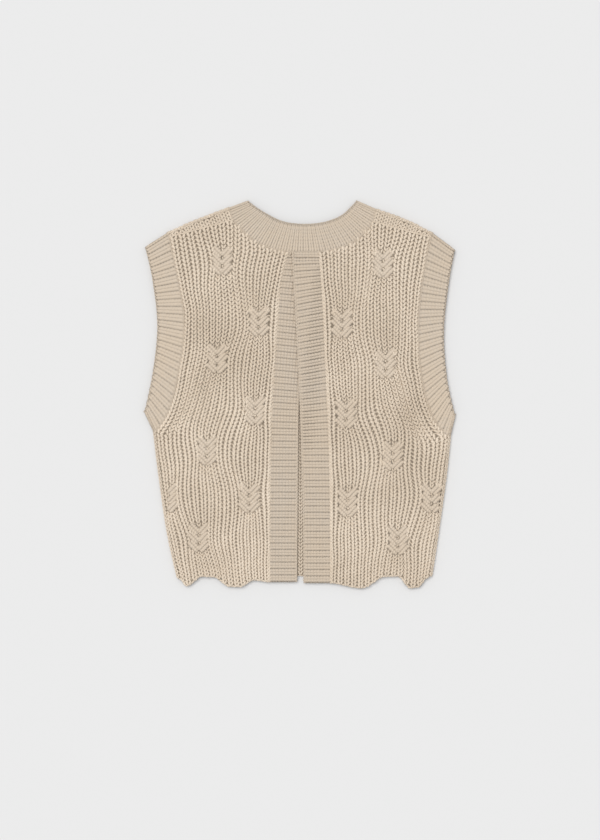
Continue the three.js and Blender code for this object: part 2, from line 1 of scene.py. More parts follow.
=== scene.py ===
"""A chunky knitted sweater vest laid flat on its front, dressed with real stitches.

Every piece of the frame gets its cloth, a closed wall of knit, and the stitches that stand
on it. A stitch is a pair of plump legs, and a tree of Geometry Nodes sets the legs on points
that follow the flow of the ribs. The part's own lengths are millimetres here, and a mesh is
made in metres. X is to the viewer's right, Y to the neck and Z up from the table.
"""
from typing import NamedTuple

import bpy
import numpy as np
from bpy.props import FloatProperty, FloatVectorProperty, IntProperty, PointerProperty
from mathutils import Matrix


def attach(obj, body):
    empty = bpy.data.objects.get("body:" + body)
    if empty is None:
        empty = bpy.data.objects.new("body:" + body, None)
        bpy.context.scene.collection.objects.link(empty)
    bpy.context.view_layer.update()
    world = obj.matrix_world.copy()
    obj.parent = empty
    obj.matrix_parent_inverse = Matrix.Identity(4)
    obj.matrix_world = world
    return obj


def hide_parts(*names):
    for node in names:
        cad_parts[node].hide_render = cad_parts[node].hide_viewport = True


bl_info = {
    "name": "Knitted Vest",
    "version": (1, 0, 0),
    "blender": (4, 5, 0),
    "location": "View3D > Sidebar > Knitted Vest",
    "description": "Dresses a flat-laid knitted vest with its cloth and its stitches",
    "category": "Object",
}

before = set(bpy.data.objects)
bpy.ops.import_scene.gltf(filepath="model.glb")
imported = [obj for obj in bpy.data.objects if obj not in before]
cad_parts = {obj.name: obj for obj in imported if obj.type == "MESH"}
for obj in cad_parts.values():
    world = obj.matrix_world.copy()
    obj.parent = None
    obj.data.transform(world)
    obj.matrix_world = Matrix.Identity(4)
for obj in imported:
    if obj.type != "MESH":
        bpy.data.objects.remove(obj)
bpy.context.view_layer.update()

MM = 0.001
SIDES = ("left", "right")
TOWARDS_CENTRE = {"left": 1, "right": -1}
UP, DOWN = np.array([0, 0, 1.0]), np.array([0, 0, -1.0])

# Heights of the layers above the table
RESTING = 0.05  # the lowest that yarn is pressed to
FRONT_GROUND = 1.3
FRONT_INSIDE = 3.5
BACK_INSIDE = 4.5
BACK_GROUND = 6.2

# Folds, where the cloth turns over from one layer to the other
FOLD_HEIGHT = 4.0
FOLD_RADIUS = 4.0
FOLD_INSIDE = 0.7
FOLD_CLEAR = 0.15  # half the gap between the two rolled cloths
FOLD_TURN = 38.0  # degrees up or down from the outermost line to its column of stitches
FOLD_RIB = 6.5  # the breadth of that column
FOLD_START = {"cloth": 0.004, "hem": 0.006, "stitches": 0.007}  # levels just above the hem
ROLL_TURNS = np.array([4, 22, 45, 68, 90.0])

SEAM_GAP = 0.25
STRIP_TOP = 198.2
SHOULDER_SEAM = {"at_arm": 3.5, "at_neck": 15}

# The outline, one row for each corner where an edge changes direction: left, then right
CORNERS = (
    ("neck_point", (-72, 271), (79.5, 271)),
    ("neck_seam", (-99.8, 260.6), (107.5, 258.7)),
    ("shoulder_middle", (-143.9, 244.2), (150.2, 243.3)),
    ("arm_seam", (-185.2, 225.8), (185.9, 225.3)),
    ("shoulder_tip", (-217.1, 205.5), (218.2, 201.5)),
    ("underarm_tip", (-219, -24.2), (219, -28.4)),
    ("underarm_seam", (-204.8, -54.4), (210.8, -62)),
    ("side_high", (-197.8, -112), (205.4, -114)),
    ("side_low", (-185.9, -193.6), (194.3, -193.6)),
    ("hem_corner", (-171.5, -259), (185, -256)),
)
OUTLINE = {
    side: {name: np.array(points[k], float) for name, *points in CORNERS}
    for k, side in enumerate(SIDES)
}

# Armholes, each a free edge and a seam between the shoulder fold and the underarm fold
ARMHOLE = {
    "left": {
        "free": [(-205.5, 159.3), (-198.7, 96.3), (-204.2, 35)],
        "seam": [(-172.4, 171), (-161.7, 107.5), (-165.4, 50.6), (-181.5, -20)],
    },
    "right": {
        "free": [(208.8, 160), (201.2, 90), (205, 24)],
        "seam": [(174, 176), (165.8, 100), (168.6, 34), (183, -27)],
    },
}

# Necklines between the two shoulder folds: the back is shallow and the hidden front deep
NECK = {
    "back_free": [(-50, 253.6), (-24, 241), (4, 237.2), (32, 239.4), (58, 249)],
    "back_seam": [(-90, 239), (-62, 213.6), (-31, 200.8), (7, 197.8), (41, 200.2), (76, 213), (99.5, 236)],
    "front_free": [(-60, 238), (-36, 207), (4, 193), (44, 207), (68, 238)],
    "front_seam": [(-92, 224), (-62, 179), (4, 155), (70, 179), (100, 224)],
}

# Centre strips from hem to neckband: the seam to the body, and the free edge at the slit
STRIPS = {
    "left": {
        "seam": [
            (-41.2, -262.2), (-40.3, -120.8), (-37.5, -10), (-30.5, 97.7), (-26.3, 153.7), (-14.4, 198.2),
        ],
        "free": [(-4.4, -262.2), (-3.4, -150), (-1.5, -10), (7.4, 97.7), (12, 153.7), (22.8, 198.2)],
    },
    "right": {
        "seam": [(42.4, -263.6), (41.4, -118), (37.9, -9), (33, 98), (30, 152), (26.3, 198.2)],
        "free": [(6, -263.6), (4.8, -150), (0.6, -10), (-4.6, 98), (-8, 155), (-10.2, 198.2)],
    },
}
STRIP_SWAY = {"left": 0.008, "right": 0.016}  # how far a rib rises to the seam, of the length
SWAY_GROWS, SWAY_ENDS = (0.35, 0.7), (0.86, 1)  # the shares of the length where it does
STRIP_WALL = 1.7
STRIP_GROUND, STRIP_MIDDLE = 1.6, 0.9  # how far up in the wall its ribs and its hem stand
STRIP_ROWS = 8
NEAR_NECK = (180, 193)  # heights between which the strips thin down under the neckband

# The right half is lifted where its strip lies over the left one
LAP_LIFT = 3.3
LAP_SLOPE = (1.2, 32)  # from the lower strip's free edge
LAP_FADE = (-90, -16)  # heights between which the lap opens into the slit

# Scalloped hems: the turning points of each edge
HEM = {
    "left": [
        (-172, -259), (-158, -267.5), (-137, -254.3), (-121, -255),
        (-97, -268.5), (-84, -269), (-64, -259.5), (-41.2, -262.2),
    ],
    "right": [
        (42.4, -263.6), (86, -270.5), (119, -254.5), (138, -253.9),
        (155, -270.5), (164, -269.5), (177, -258.5), (188, -256),
    ],
    "front": [
        (-168, -258), (-134, -249), (-89, -258), (-60, -252), (-35, -255), (0, -253.6),
        (40, -258), (87, -262), (124, -250), (156, -262), (182, -255),
    ],
}

# Leaf cables: the middle of each
CABLES = {
    "left": [
        (-108.2, 184.5), (-57.1, 99.1), (-115.2, 47.3), (-62, -25.6),
        (-129.2, -80.9), (-183.8, -147.4), (-70.4, -147.4), (-140.4, -202.7),
    ],
    "right": [
        (116.6, 180.3), (59.2, 96.3), (120.1, 39.6), (64.8, -29.8),
        (129.9, -88.6), (184.5, -147.4), (67.1, -153.5), (137.6, -206.2),
    ],
}
CABLE_HALF_WIDTH = 14.5
CABLE_HALF_HEIGHT = 23.5
CABLE_ROUND = 2.2  # 2 is an ellipse, and more is squarer
CABLE_SINK = 1.3  # how far the ribs go down behind a leaf cable
CABLE_PULL, CABLE_REACH, CABLE_DRAWN = 4.6, 20, 31  # how ribs are drawn in, and how far off
PULL_FADE = {"edge": 0.12, "strip": 0.1, "hem": 0.03, "top": 0.06}
CABLE_CLEAR = 3.5  # a cable's stitches keep this far from the fold
OFF_SIDE, OFF_SIDES = 16, 12  # how soon a row leaves the outer edge's line, back and front

# A leaf: pairs of arms one above the other, each of a few legs in two strands
LEAF_TIERS = (-15.5, -3.5, 8.5)  # where the arms start, from the cable's middle
LEAF_ARM = {"off_middle": 1.8, "reach": 10.4, "rise": 10.8, "bulge": 0.3}
LEAF_LEGS, LEAF_WIDTH, LEAF_LENGTH = 4, 6.6, 7.6
LEAF_STRAND, LEAF_SPLAY = 0.36, 0.15  # how far its two strands stand and turn apart
LEAF_LIE = {"back": (1.9, 0.75), "front": (1.4, 0.3)}  # a leg's height, and its stand

# Bands
BAND_WALL = 1.7
BAND_MIDDLE = 1.4  # where the ring's length is measured, out from the cloth
BAND_CREST = 1.2
BAND_TURN = 78  # degrees up and down that a band's fold covers

# Loops and chains: a leg's length as a share of its step, its height, and how far it tilts
LOOP_LENGTH, LOOP_HEIGHT = 0.5, 1.7
CHAIN_LENGTH, CHAIN_TILT = 1.6, 0.28

# Slow waves that a field of stitches strays by: the axis, the size, and the waves in x and y
STRAY = ((0, 0.5, 37, 19), (0, 0.35, -23, 8.3), (1, 0.45, 17, -41), (1, 0.3, 7.1, 29))
ROW_CROWDING = 0.075  # how much closer the rows lie at the hem

# The front's wrap over a shoulder
SHOULDER_RIBS = 12
ROUND_FOLD = 0.55  # the share of the way that goes round the fold
SHOULDER_WALL = 1.6
SHOULDER_RIDGES = ((0.16, 0.1, "ridge"), (0.39, 0.1, "ridge"), (0.47, 0.5, "fill"))

# Chains of stitches along edges and seams: the spacing, and the width and height of a leg
CHAINS = {
    "back_hem": (4.4, 3.2, 3.0),
    "back_seam": (5.0, 2.2, 1.8),
    "front_hem": (4.4, 2.6, 2.6),
    "fold_hem": (1.5, 3.2, 3.2),
    "strip_edge": (4.3, 3.2, 2.4),
    "strip_hem": (4.3, 1.9, 2.2),
    "band_edge": (4.4, 2.0, 2.2),
    "band_seam": (4.4, 2.3, 2.2),
    "shoulder_seam": (4.6, 2.2, 2.2),
    "ridge": (5.0, 3.2, 1.7),
    "fill": (5.0, 4.4, 1.7),
}

# Noise in the yarn, from a soft mottle to loose fibres, and in the table's surface
MOTTLE, MARL, FLECK, FIBRE, CLOTH_FIBRE, GRAIN = 9.0, 210.0, 1400.0, 2600.0, 2200.0, 900.0
PLY_TURN = 16.0  # how far the plies turn along a leg, in radians


def ease(value, low, high):
    """A smooth step from 0 at low to 1 at high."""
    t = np.clip((value - low) / (high - low), 0, 1)
    return t * t * (3 - 2 * t)


def mix(a, b, share):
    return a + (b - a) * share


def unit(vectors):
    return vectors / np.maximum(np.linalg.norm(vectors, axis=-1, keepdims=True), 1e-9)


def read(where, knots, points):
    """The points of a table, read between its knots."""
    return np.stack([np.interp(where, knots, column) for column in points.T], -1)


def distances(line):
    """How far along a line each of its points lies."""
    return np.concatenate([[0], np.cumsum(np.linalg.norm(np.diff(line, axis=0), axis=1))])


def middles(count):
    """The middles of equal steps from 0 to 1."""
    return (np.arange(count) + 0.5) / count


def pairs(u, v):
    return np.stack(np.broadcast_arrays(u, v), -1)


def shares(count):
    """Even shares of a way, from end to end."""
    return np.linspace(0, 1, count)


def grid(rows, columns):
    return shares(rows)[:, None], shares(columns)[None, :]


def sideways(along, towards):
    """The unit vectors at right angles to along, in the plane, on the side of towards."""
    normal = unit(np.stack([-along[..., 1], along[..., 0]], -1))
    return normal * np.where((normal * towards).sum(-1, keepdims=True) < 0, -1, 1)


def raised(flat, height):
    """Points of the plane at a height."""
    return np.concatenate([flat, np.broadcast_to(height, flat.shape[:-1])[..., None]], -1)


class Curve:
    """A smooth curve through a few key points, read by the share of its length."""

    SAMPLES = 800
    STEP = 0.004

    def __init__(self, points):
        keys = np.array(points, float)
        last = len(keys) - 1
        t = np.linspace(0, last, self.SAMPLES)
        start = np.minimum(t.astype(int), last - 1)
        w = (t - start)[:, None]
        before, here, after, beyond = (keys[np.clip(start + k, 0, last)] for k in (-1, 0, 1, 2))
        leave, arrive = (after - before) / 2, (beyond - here) / 2
        self.path = (
            (2 * here - 2 * after + leave + arrive) * w**3
            + (3 * after - 3 * here - 2 * leave - arrive) * w**2
            + leave * w
            + here
        )
        run = distances(self.path)
        self.length, self.share = run[-1], run / run[-1]

    def at(self, share):
        return read(share, self.share, self.path)

    def tangent(self, share):
        low, high = (np.clip(share + step, 0, 1) for step in (-self.STEP, self.STEP))
        return unit(self.at(high) - self.at(low))

    def x_at(self, y):
        return np.interp(y, self.path[:, 1], self.path[:, 0])

    def y_at(self, x):
        return np.interp(x, self.path[:, 0], self.path[:, 1])


class Fold:
    """A place on a fold: the way it bulges, and its centre."""

    def __init__(self, point, out):
        self.out, self.centre = out, point - FOLD_RADIUS * out


def folds_of(p):
    """The folds of one side, at the ends of its bands."""

    def between(a, b):
        return sideways(p[b] - p[a], p[a] + p[b])

    shoulder = between("neck_seam", "arm_seam")
    tip = between("arm_seam", "shoulder_tip")
    under = between("underarm_tip", "underarm_seam")
    outs = {
        "neck_point": between("neck_point", "neck_seam"),
        "neck_seam": shoulder,
        "arm_seam": unit(shoulder + tip),
        "shoulder_tip": tip,
        "underarm_tip": under,
        "underarm_seam": unit(under + between("underarm_seam", "side_high")),
    }
    return {name: Fold(p[name], out) for name, out in outs.items()}


FOLDS = {side: folds_of(OUTLINE[side]) for side in SIDES}


class Seam(Curve):
    """A seam between two folds, that can be followed at a distance towards its band."""

    def __init__(self, start, inner, end, towards):
        super().__init__([start.centre, *inner, end.centre])
        self.towards = np.array(towards, float)

    def beside(self, share, distance):
        p = self.at(share)
        return p + sideways(self.tangent(share), self.towards - p) * distance


def arm_seam(side):
    folds = FOLDS[side]
    past_band = (-TOWARDS_CENTRE[side] * 320, 90)
    return Seam(folds["arm_seam"], ARMHOLE[side]["seam"], folds["underarm_seam"], past_band)


def neck_seam(layer):
    start, end = (FOLDS[side]["neck_seam"] for side in SIDES)
    past_band = (4, 330)
    return Seam(start, NECK[f"{layer}_seam"], end, past_band)


ARM_SEAMS = {side: arm_seam(side) for side in SIDES}
NECK_SEAMS = {layer: neck_seam(layer) for layer in ("back", "front")}
STRIP_SEAMS = {side: Curve(STRIPS[side]["seam"]) for side in SIDES}
STRIP_FREE = {side: Curve(STRIPS[side]["free"]) for side in SIDES}


def shoulder_seam_ends(side, distance):
    """The ends of the shoulder seam on the back, at the neckband and at the armhole."""
    neck, arm = NECK_SEAMS["back"], ARM_SEAMS[side]
    reach = SHOULDER_SEAM["at_neck"] / neck.length
    at_neck = neck.beside(np.array(reach if side == "left" else 1 - reach), distance)
    return at_neck, arm.beside(np.array(SHOULDER_SEAM["at_arm"] / arm.length), distance)


def shoulder_fold(side, share):
    """Centres and outward ways of the body's shoulder fold, from the neckband at share 0."""
    line = Curve([OUTLINE[side][name] for name in ("neck_seam", "shoulder_middle", "arm_seam")])
    out = sideways(line.tangent(share), line.at(share))
    return line.at(share) - FOLD_RADIUS * out, out


def hem_height(rows, x):
    """The height of a scalloped hem, smooth between its turning points."""
    xs, ys = np.array(rows, float).T
    k = np.clip(np.searchsorted(xs, x) - 1, 0, len(xs) - 2)
    return mix(ys[k], ys[k + 1], ease(x, xs[k], xs[k + 1]))


def drawn(cables, x, y):
    """How far the ribs are drawn sideways to the leaf cables near them."""
    pull = 0
    for cx, cy in cables:
        dx, dy = (x - cx) / CABLE_REACH, (y - cy) / CABLE_DRAWN
        pull = pull - CABLE_PULL * dx * np.exp(0.5 - 0.5 * dx * dx) * np.exp(-dy * dy)
    return pull


def in_cable(cables, x, y):
    inside = np.zeros(x.shape, bool)
    for cx, cy in cables:
        dx, dy = (x - cx) / CABLE_HALF_WIDTH, (y - cy - 1) / CABLE_HALF_HEIGHT
        inside |= np.abs(dx) ** CABLE_ROUND + np.abs(dy) ** CABLE_ROUND < 1
    return inside


def thinned(y):
    """The strips thin down to half where they meet the neckband."""
    return mix(1, 0.5, ease(y, *NEAR_NECK))


def lap(side, x, y):
    """How far the right half is lifted where its strip lies over the left one."""
    if side == "left":
        return 0 * x
    edge = STRIP_FREE["left"].x_at(np.minimum(y, STRIP_TOP))
    slope = 1 - ease(x, edge + LAP_SLOPE[0], edge + LAP_SLOPE[1])
    return LAP_LIFT * thinned(y) * slope * ease(y, *LAP_FADE)


def over_fold(centre, out, radius, turn):
    """Points round a fold: turn is 90 on the upper layer, 0 outermost and -90 on the table."""
    angle = np.radians(turn)
    flat = centre + out * (radius * np.cos(angle))[..., None]
    return raised(flat, FOLD_HEIGHT + radius * np.sin(angle))


def fold_normal(out, turn):
    angle = np.radians(turn)
    return raised(out * np.cos(angle)[..., None], np.sin(angle))


def ground_radius(turn):
    """The cloth under the stitches: deeper on the upper layer than at the table."""
    return mix(FOLD_HEIGHT - FRONT_GROUND, BACK_GROUND - FOLD_HEIGHT, (turn + 90) / 180)


class BackHalf:
    """Where the knit of a back half lies. A place is told by a, from the outer edge at 0 to
    the centre strip at 1, and by its level, from the hem at 0 to the top at 1."""

    def __init__(self, side):
        self.side, self.inward = side, TOWARDS_CENTRE[side]
        names = ("underarm_seam", "side_high", "side_low", "hem_corner")
        line = Curve([OUTLINE[side][name] for name in names])
        share = np.linspace(1, 0, 240)
        out = sideways(line.tangent(share), line.at(share))
        near_underarm = ease(share, 0.1, 0)[:, None]
        self.out = unit(mix(out, FOLDS[side]["underarm_seam"].out, near_underarm))
        self.fold = line.at(share) - FOLD_RADIUS * self.out
        seam = ARM_SEAMS[side]
        top = (SHOULDER_SEAM["at_arm"] + SEAM_GAP) / seam.length
        edge = np.vstack([self.fold, seam.beside(np.linspace(0.999, top, 300), -SEAM_GAP)])
        self.low, self.high = edge[0], edge[-1]
        self.edge_x, self.edge_level = edge[:, 0], self.level_of(edge[:, 1])
        self.fold_level = self.edge_level[: len(self.fold)]
        self.underarm = self.fold_level[-1]
        self.soft = self.softened(shares(401), 30)

    def level_of(self, y):
        return (y - self.low[1]) / (self.high[1] - self.low[1])

    def softened(self, levels, reach):
        """The outer edge with its corner at the underarm smoothed, for the ribs beside it."""
        rough = np.interp(levels, self.edge_level, self.edge_x)
        window = np.hanning(2 * reach + 1)
        padded = np.pad(rough, reach, mode="reflect", reflect_type="odd")
        return levels, np.convolve(padded, window / window.sum(), "valid")

    def inner(self, y):
        return STRIP_SEAMS[self.side].x_at(np.minimum(y, STRIP_TOP)) - self.inward * SEAM_GAP

    def holds(self, x, y):
        """Whether places lie on this half, clear of its fold."""
        edge = np.interp(self.level_of(y), self.edge_level, self.edge_x)
        return (x - edge) * self.inward > CABLE_CLEAR

    def sunk(self, place):
        """How far the ribs go down behind the leaf cables."""
        x, y = place[..., 0], place[..., 1]
        return in_cable(CABLES[self.side], x, y) * self.holds(x, y) * CABLE_SINK

    def top_height(self, x):
        at_neck, at_arm = shoulder_seam_ends(self.side, 0)
        past = (x - at_neck[0]) * self.inward > 0
        shoulder = mix(at_arm[1], at_neck[1], (x - at_arm[0]) / (at_neck[0] - at_arm[0]))
        return np.where(past, NECK_SEAMS["back"].y_at(x), shoulder) - 2 * SEAM_GAP

    def place(self, a, level):
        a, level = np.broadcast_arrays(np.asarray(a, float), level)
        edge_x = np.interp(level, self.edge_level, self.edge_x)
        edge_x = mix(edge_x, np.interp(level, *self.soft), ease(a, 0, 0.3))
        low_x = mix(self.low[0], self.inner(np.array(-260.0)), a)
        high_x = mix(self.high[0], self.inner(np.array(STRIP_TOP)), a)
        off_edge = np.clip(a * OFF_SIDE, 0, 1)
        bottom = mix(self.low[1], hem_height(HEM[self.side], low_x), off_edge)
        top = mix(self.high[1], self.top_height(high_x), off_edge)
        y = mix(bottom, top, level)
        x = mix(edge_x, self.inner(y), a)
        x = x + drawn(CABLES[self.side], x, y) * self.pull_fade(a, level)
        return raised(pairs(x, y), lap(self.side, x, y))

    @staticmethod
    def pull_fade(a, level):
        """The cables' pull fades out towards each edge of the half."""
        ways = {"edge": a, "strip": 1 - a, "hem": level, "top": 1 - level}
        return np.prod([ease(way, 0, PULL_FADE[name]) for name, way in ways.items()], axis=0)

    def rolled(self, level, turn, radius):
        """Places round the side fold, up to the underarm, and the way out from it."""
        centre = read(level, self.fold_level, self.fold)
        out = unit(read(level, self.fold_level, self.out))
        turn, radius = (np.broadcast_to(value, centre.shape[:-1]) for value in (turn, radius))
        return over_fold(centre, out, radius, turn), fold_normal(out, turn)


HALVES = {side: BackHalf(side) for side in SIDES}


class Front:
    """Where the knit of the front lies on the table. A place is told by its share of the way
    across, from the left at 0, and by its level, from the hem at 0 to the top at 1."""

    NECK_ENDS = (0.232, 0.787)  # where the neckline begins and ends along the top edge

    def __init__(self):
        self.across = across = shares(601)
        left, right = self.NECK_ENDS
        on_left, _ = shoulder_fold("left", 1 - across / left)
        on_right, _ = shoulder_fold("right", (across - right) / (1 - right))
        seam = NECK_SEAMS["front"].beside((across - left) / (right - left), -SEAM_GAP)
        choose = [(across < left)[:, None], (across < right)[:, None]]
        self.top = np.select(choose, [on_left, seam], on_right)

    def edge(self, side, level):
        half = HALVES[side]
        x = np.interp(level, half.edge_level, half.edge_x)
        return pairs(x, mix(half.low[1], half.high[1], level))

    def place(self, across, level):
        across, level = np.broadcast_arrays(np.asarray(across, float), level)
        left, right = (self.edge(side, level) for side in SIDES)
        top = read(across, self.across, self.top)
        low_x = mix(HALVES["left"].low[0], HALVES["right"].low[0], across)
        straight = mix(left, right, across[..., None])
        off_edge = np.clip(np.minimum(across, 1 - across) * OFF_SIDES, 0, 1)
        level_y = mix(hem_height(HEM["front"], low_x), top[..., 1], level)
        y = mix(straight[..., 1], level_y, off_edge)
        x = mix(straight[..., 0], mix(low_x, top[..., 0], level), ease(level, 0.5, 1) * off_edge)
        x = x + drawn(CABLES["left"] + CABLES["right"], x, y) * off_edge * ease(1 - level, 0, 0.1)
        return raised(pairs(x, y), 0)


FRONT = Front()


class Band:
    """A ribbed band as a ring of stations folded flat at two places. A place is told by its
    way round the ring, from 0 to 1, and by its share of the way from free edge to seam."""

    def __init__(self, start, end, back_free, back_seam, front_free, front_seam):
        arc, turn = shares(160), np.linspace(BAND_TURN, -BAND_TURN, 13)
        back, front = (
            Curve([start[0].centre, *line, end[0].centre]) for line in (back_free, front_free)
        )
        parts = [
            self.layer(back, back_seam, arc, BACK_GROUND, UP),
            self.turned(end, turn),
            self.layer(front, front_seam, arc[::-1], FRONT_GROUND, DOWN),
            self.turned(start, turn[::-1]),
        ]
        lines = (np.vstack([part[k] for part in parts]) for k in range(3))
        self.free, self.seam, self.normal = (np.vstack([line, line[:1]]) for line in lines)
        run = distances((self.free + self.seam) / 2 + self.normal * BAND_MIDDLE)
        self.length, self.way = run[-1], run / run[-1]
        ends = np.cumsum([len(part[0]) for part in parts])
        self.bounds = [0.0, *(self.way[ends - 1] + self.way[np.minimum(ends, len(run) - 1)]) / 2]

    @staticmethod
    def layer(free, seam, arc, height, normal):
        lines = (raised(line, height) for line in (free.at(arc), seam.beside(arc, SEAM_GAP)))
        return (*lines, np.tile(normal, (len(arc), 1)))

    @staticmethod
    def turned(folds, turn):
        outs = [np.tile(fold.out, (len(turn), 1)) for fold in folds]
        radius = ground_radius(turn)
        lines = [over_fold(fold.centre, out, radius, turn) for fold, out in zip(folds, outs)]
        return (*lines, fold_normal(outs[1], turn))

    def ribs(self, count):
        """The middle and the breadth of each rib: even on each layer, and finer on a fold."""
        places, breadths = [], []
        for low, high in zip(self.bounds[:-1], self.bounds[1:]):
            number = max(3, round((high - low) * count))
            places.append(mix(low, high, middles(number)))
            breadths.append(np.full(number, (high - low) / number))
        return np.concatenate(places)[:, None], np.concatenate(breadths)[:, None]

    def place(self, way, share):
        way, share = np.broadcast_arrays(np.asarray(way, float), share)
        free, seam = (read(way % 1, self.way, line) for line in (self.free, self.seam))
        return mix(free, seam, share[..., None])

    def outward(self, way):
        return unit(read(way % 1, self.way, self.normal))


def neck_ring():
    folds = [[FOLDS[side][name] for name in ("neck_point", "neck_seam")] for side in SIDES]
    lines = NECK["back_free"], NECK_SEAMS["back"], NECK["front_free"], NECK_SEAMS["front"]
    return Band(*folds, *lines)


def arm_ring(side):
    names = ("shoulder_tip", "arm_seam"), ("underarm_tip", "underarm_seam")
    folds = [[FOLDS[side][name] for name in pair] for pair in names]
    lines = ARMHOLE[side]["free"], ARM_SEAMS[side]
    return Band(*folds, *lines, *lines)


class Legs:
    """The legs of stitches: where each lies, which way it runs, and how big it is."""

    def __init__(self):
        self.rows = []

    def add(self, place, along, outward, width, length, height, keep=None):
        shape = place.shape
        size = np.stack([np.broadcast_to(v, shape[:-1]) for v in (width, length, height)], -1)
        table = [np.broadcast_to(v, shape) for v in (place, along, outward, size)]
        table = np.concatenate(table, -1)
        self.rows.append(table.reshape(-1, 12) if keep is None else table[keep])

    def points(self, name):
        """A mesh of loose points that carry what the tree of nodes needs."""
        table = np.vstack(self.rows)
        mesh = bpy.data.meshes.new(name)
        mesh.vertices.add(len(table))
        mesh.vertices.foreach_set("co", (table[:, :3] * MM).ravel())
        for k, (attribute, scale) in enumerate((("along", 1), ("outward", 1), ("size", MM)), 1):
            layer = mesh.attributes.new(attribute, "FLOAT_VECTOR", "POINT")
            layer.data.foreach_set("vector", (table[:, 3 * k : 3 * k + 3] * scale).ravel())
        return mesh


class Gauge(NamedTuple):
    """How a stitch fills its place, as shares of a rib's pitch and of a row's height."""

    spread: float  # from the rib's middle to the middle of a leg
    lean: float  # how far the legs open out
    width: float
    length: float
    height: float  # millimetres through the leg
    stand: float  # millimetres from the ground to the leg's middle
    dive: float  # how steeply the top of a leg goes behind the next stitch


BODY_GAUGE = Gauge(0.23, 0.42, 0.37, 1.5, 2.8, 0.8, 0.16)
FOLD_GAUGE = Gauge(0.23, 0.4, 0.42, 1.4, 1.8, 0.35, 0.08)
STRIP_GAUGE = Gauge(0.21, 0.02, 0.76, 1.9, 0.95, 0.4, 0.03)
BAND_GAUGE = Gauge(0.235, 0.03, 0.7, 2.9, 1.0, 0.4, 0.02)
ARM_GAUGE = Gauge(0.212, 0.02, 0.86, 2.9, 0.76, 0.3, 0.02)
UNDER_GAUGE = Gauge(0.235, 0.5, 0.36, 1.4, 1.7, 0.35, 0.08)


def stitch(legs, place, up, across, outward, gauge):
    """A pair of legs for each stitch. up and across are one row and one rib long."""
    row = np.linalg.norm(up, axis=-1)
    outward = unit(np.broadcast_to(outward, place.shape))
    up = unit(up)
    across = across - up * (across * up).sum(-1, keepdims=True)
    pitch = np.linalg.norm(across, axis=-1)
    across = unit(across)
    for hand in (-1, 1):
        middle = place + outward * gauge.stand + across * (hand * gauge.spread * pitch)[..., None]
        along = up + across * hand * gauge.lean - outward * gauge.dive
        legs.add(middle, along, outward, gauge.width * pitch, gauge.length * row, gauge.height)


def rung(legs, place, up, across, outward, drop, width=0.46):
    """The short loop that lies across a groove in each row. Its width is a share of the row."""
    row, pitch = (np.linalg.norm(way, axis=-1) for way in (up, across))
    outward = unit(np.broadcast_to(outward, place.shape))
    legs.add(place - outward * drop, across, outward, width * row, LOOP_LENGTH * pitch, LOOP_HEIGHT)


def chain(legs, line, outward, kind, drop=0.0):
    """Overlapping legs along an edge or a seam, as its cast-on or its sewing leaves them."""
    spacing, width, height = CHAINS[kind]
    run = distances(line)
    where = middles(max(2, round(run[-1] / spacing))) * run[-1]
    place, ahead, behind = (read(where + step, run, line) for step in (0, 0.4, -0.4))
    along = unit(ahead - behind)
    outward = outward(where / run[-1]) if callable(outward) else np.broadcast_to(outward, place.shape)
    along = along + np.cross(outward, along) * CHAIN_TILT
    legs.add(place - outward * drop, along, outward, width, CHAIN_LENGTH * spacing, height)


def row_levels(rows, offset=0.5):
    """Levels of the rows, which lie closer together towards the hem."""
    t = np.clip((np.arange(rows) + offset) / rows, 0, 1)
    return (t * (1 - ROW_CROWDING + ROW_CROWDING * t))[:, None]


def wander(place):
    """Lets a field of stitches stray a little from its lines, as soft knit does."""
    stray = np.zeros(place.shape)
    for axis, size, wave_x, wave_y in STRAY:
        stray[..., axis] += size * np.sin(place[..., 0] / wave_x + place[..., 1] / wave_y)
    return place + stray


def leaf_cable(legs, middle, ground, outward, inside, height, stand):
    """Pairs of smooth arms that open upwards from the cable's middle line."""
    t = np.linspace(0.14, 0.86, LEAF_LEGS)
    z = ground + outward[2] * (stand + LEAF_ARM["bulge"] * np.sin(np.pi * t))
    for tier in LEAF_TIERS:
        for hand in (-1, 1):
            x = middle[0] + hand * (LEAF_ARM["off_middle"] + LEAF_ARM["reach"] * t)
            y = middle[1] + tier + LEAF_ARM["rise"] * t
            place = np.stack([x, y, z], -1)
            along = unit(np.gradient(place, axis=0))
            beside = np.cross(along, outward)
            for strand in (-1, 1):
                where = place + beside * strand * LEAF_STRAND * LEAF_WIDTH
                way = along + beside * strand * LEAF_SPLAY
                legs.add(where, way, outward, LEAF_WIDTH, LEAF_LENGTH, height, inside(x, y))


def rib_field(place, share, level, ribs, rows):
    """Places, one row's step and one rib's step, for stitches on a map of the knit."""
    ds, dl = 0.25 / ribs, 0.5 / rows
    up = place(share, np.clip(level + dl, 0, 1)) - place(share, np.clip(level - dl, 0, 1))
    across = (place(np.clip(share + ds, 0, 1), level) - place(np.clip(share - ds, 0, 1), level)) * 2
    return place(share, level), up, across


def add_node(tree, kind, settings, inputs):
    """A node with its settings. An input, by its name or number, is a link or a value."""
    node = tree.nodes.new(kind)
    for key, value in settings.items():
        setattr(node, key, value)
    for key, value in inputs.items():
        if isinstance(value, bpy.types.NodeSocket):
            tree.links.new(value, node.inputs[key])
        else:
            node.inputs[key].default_value = value
    return node


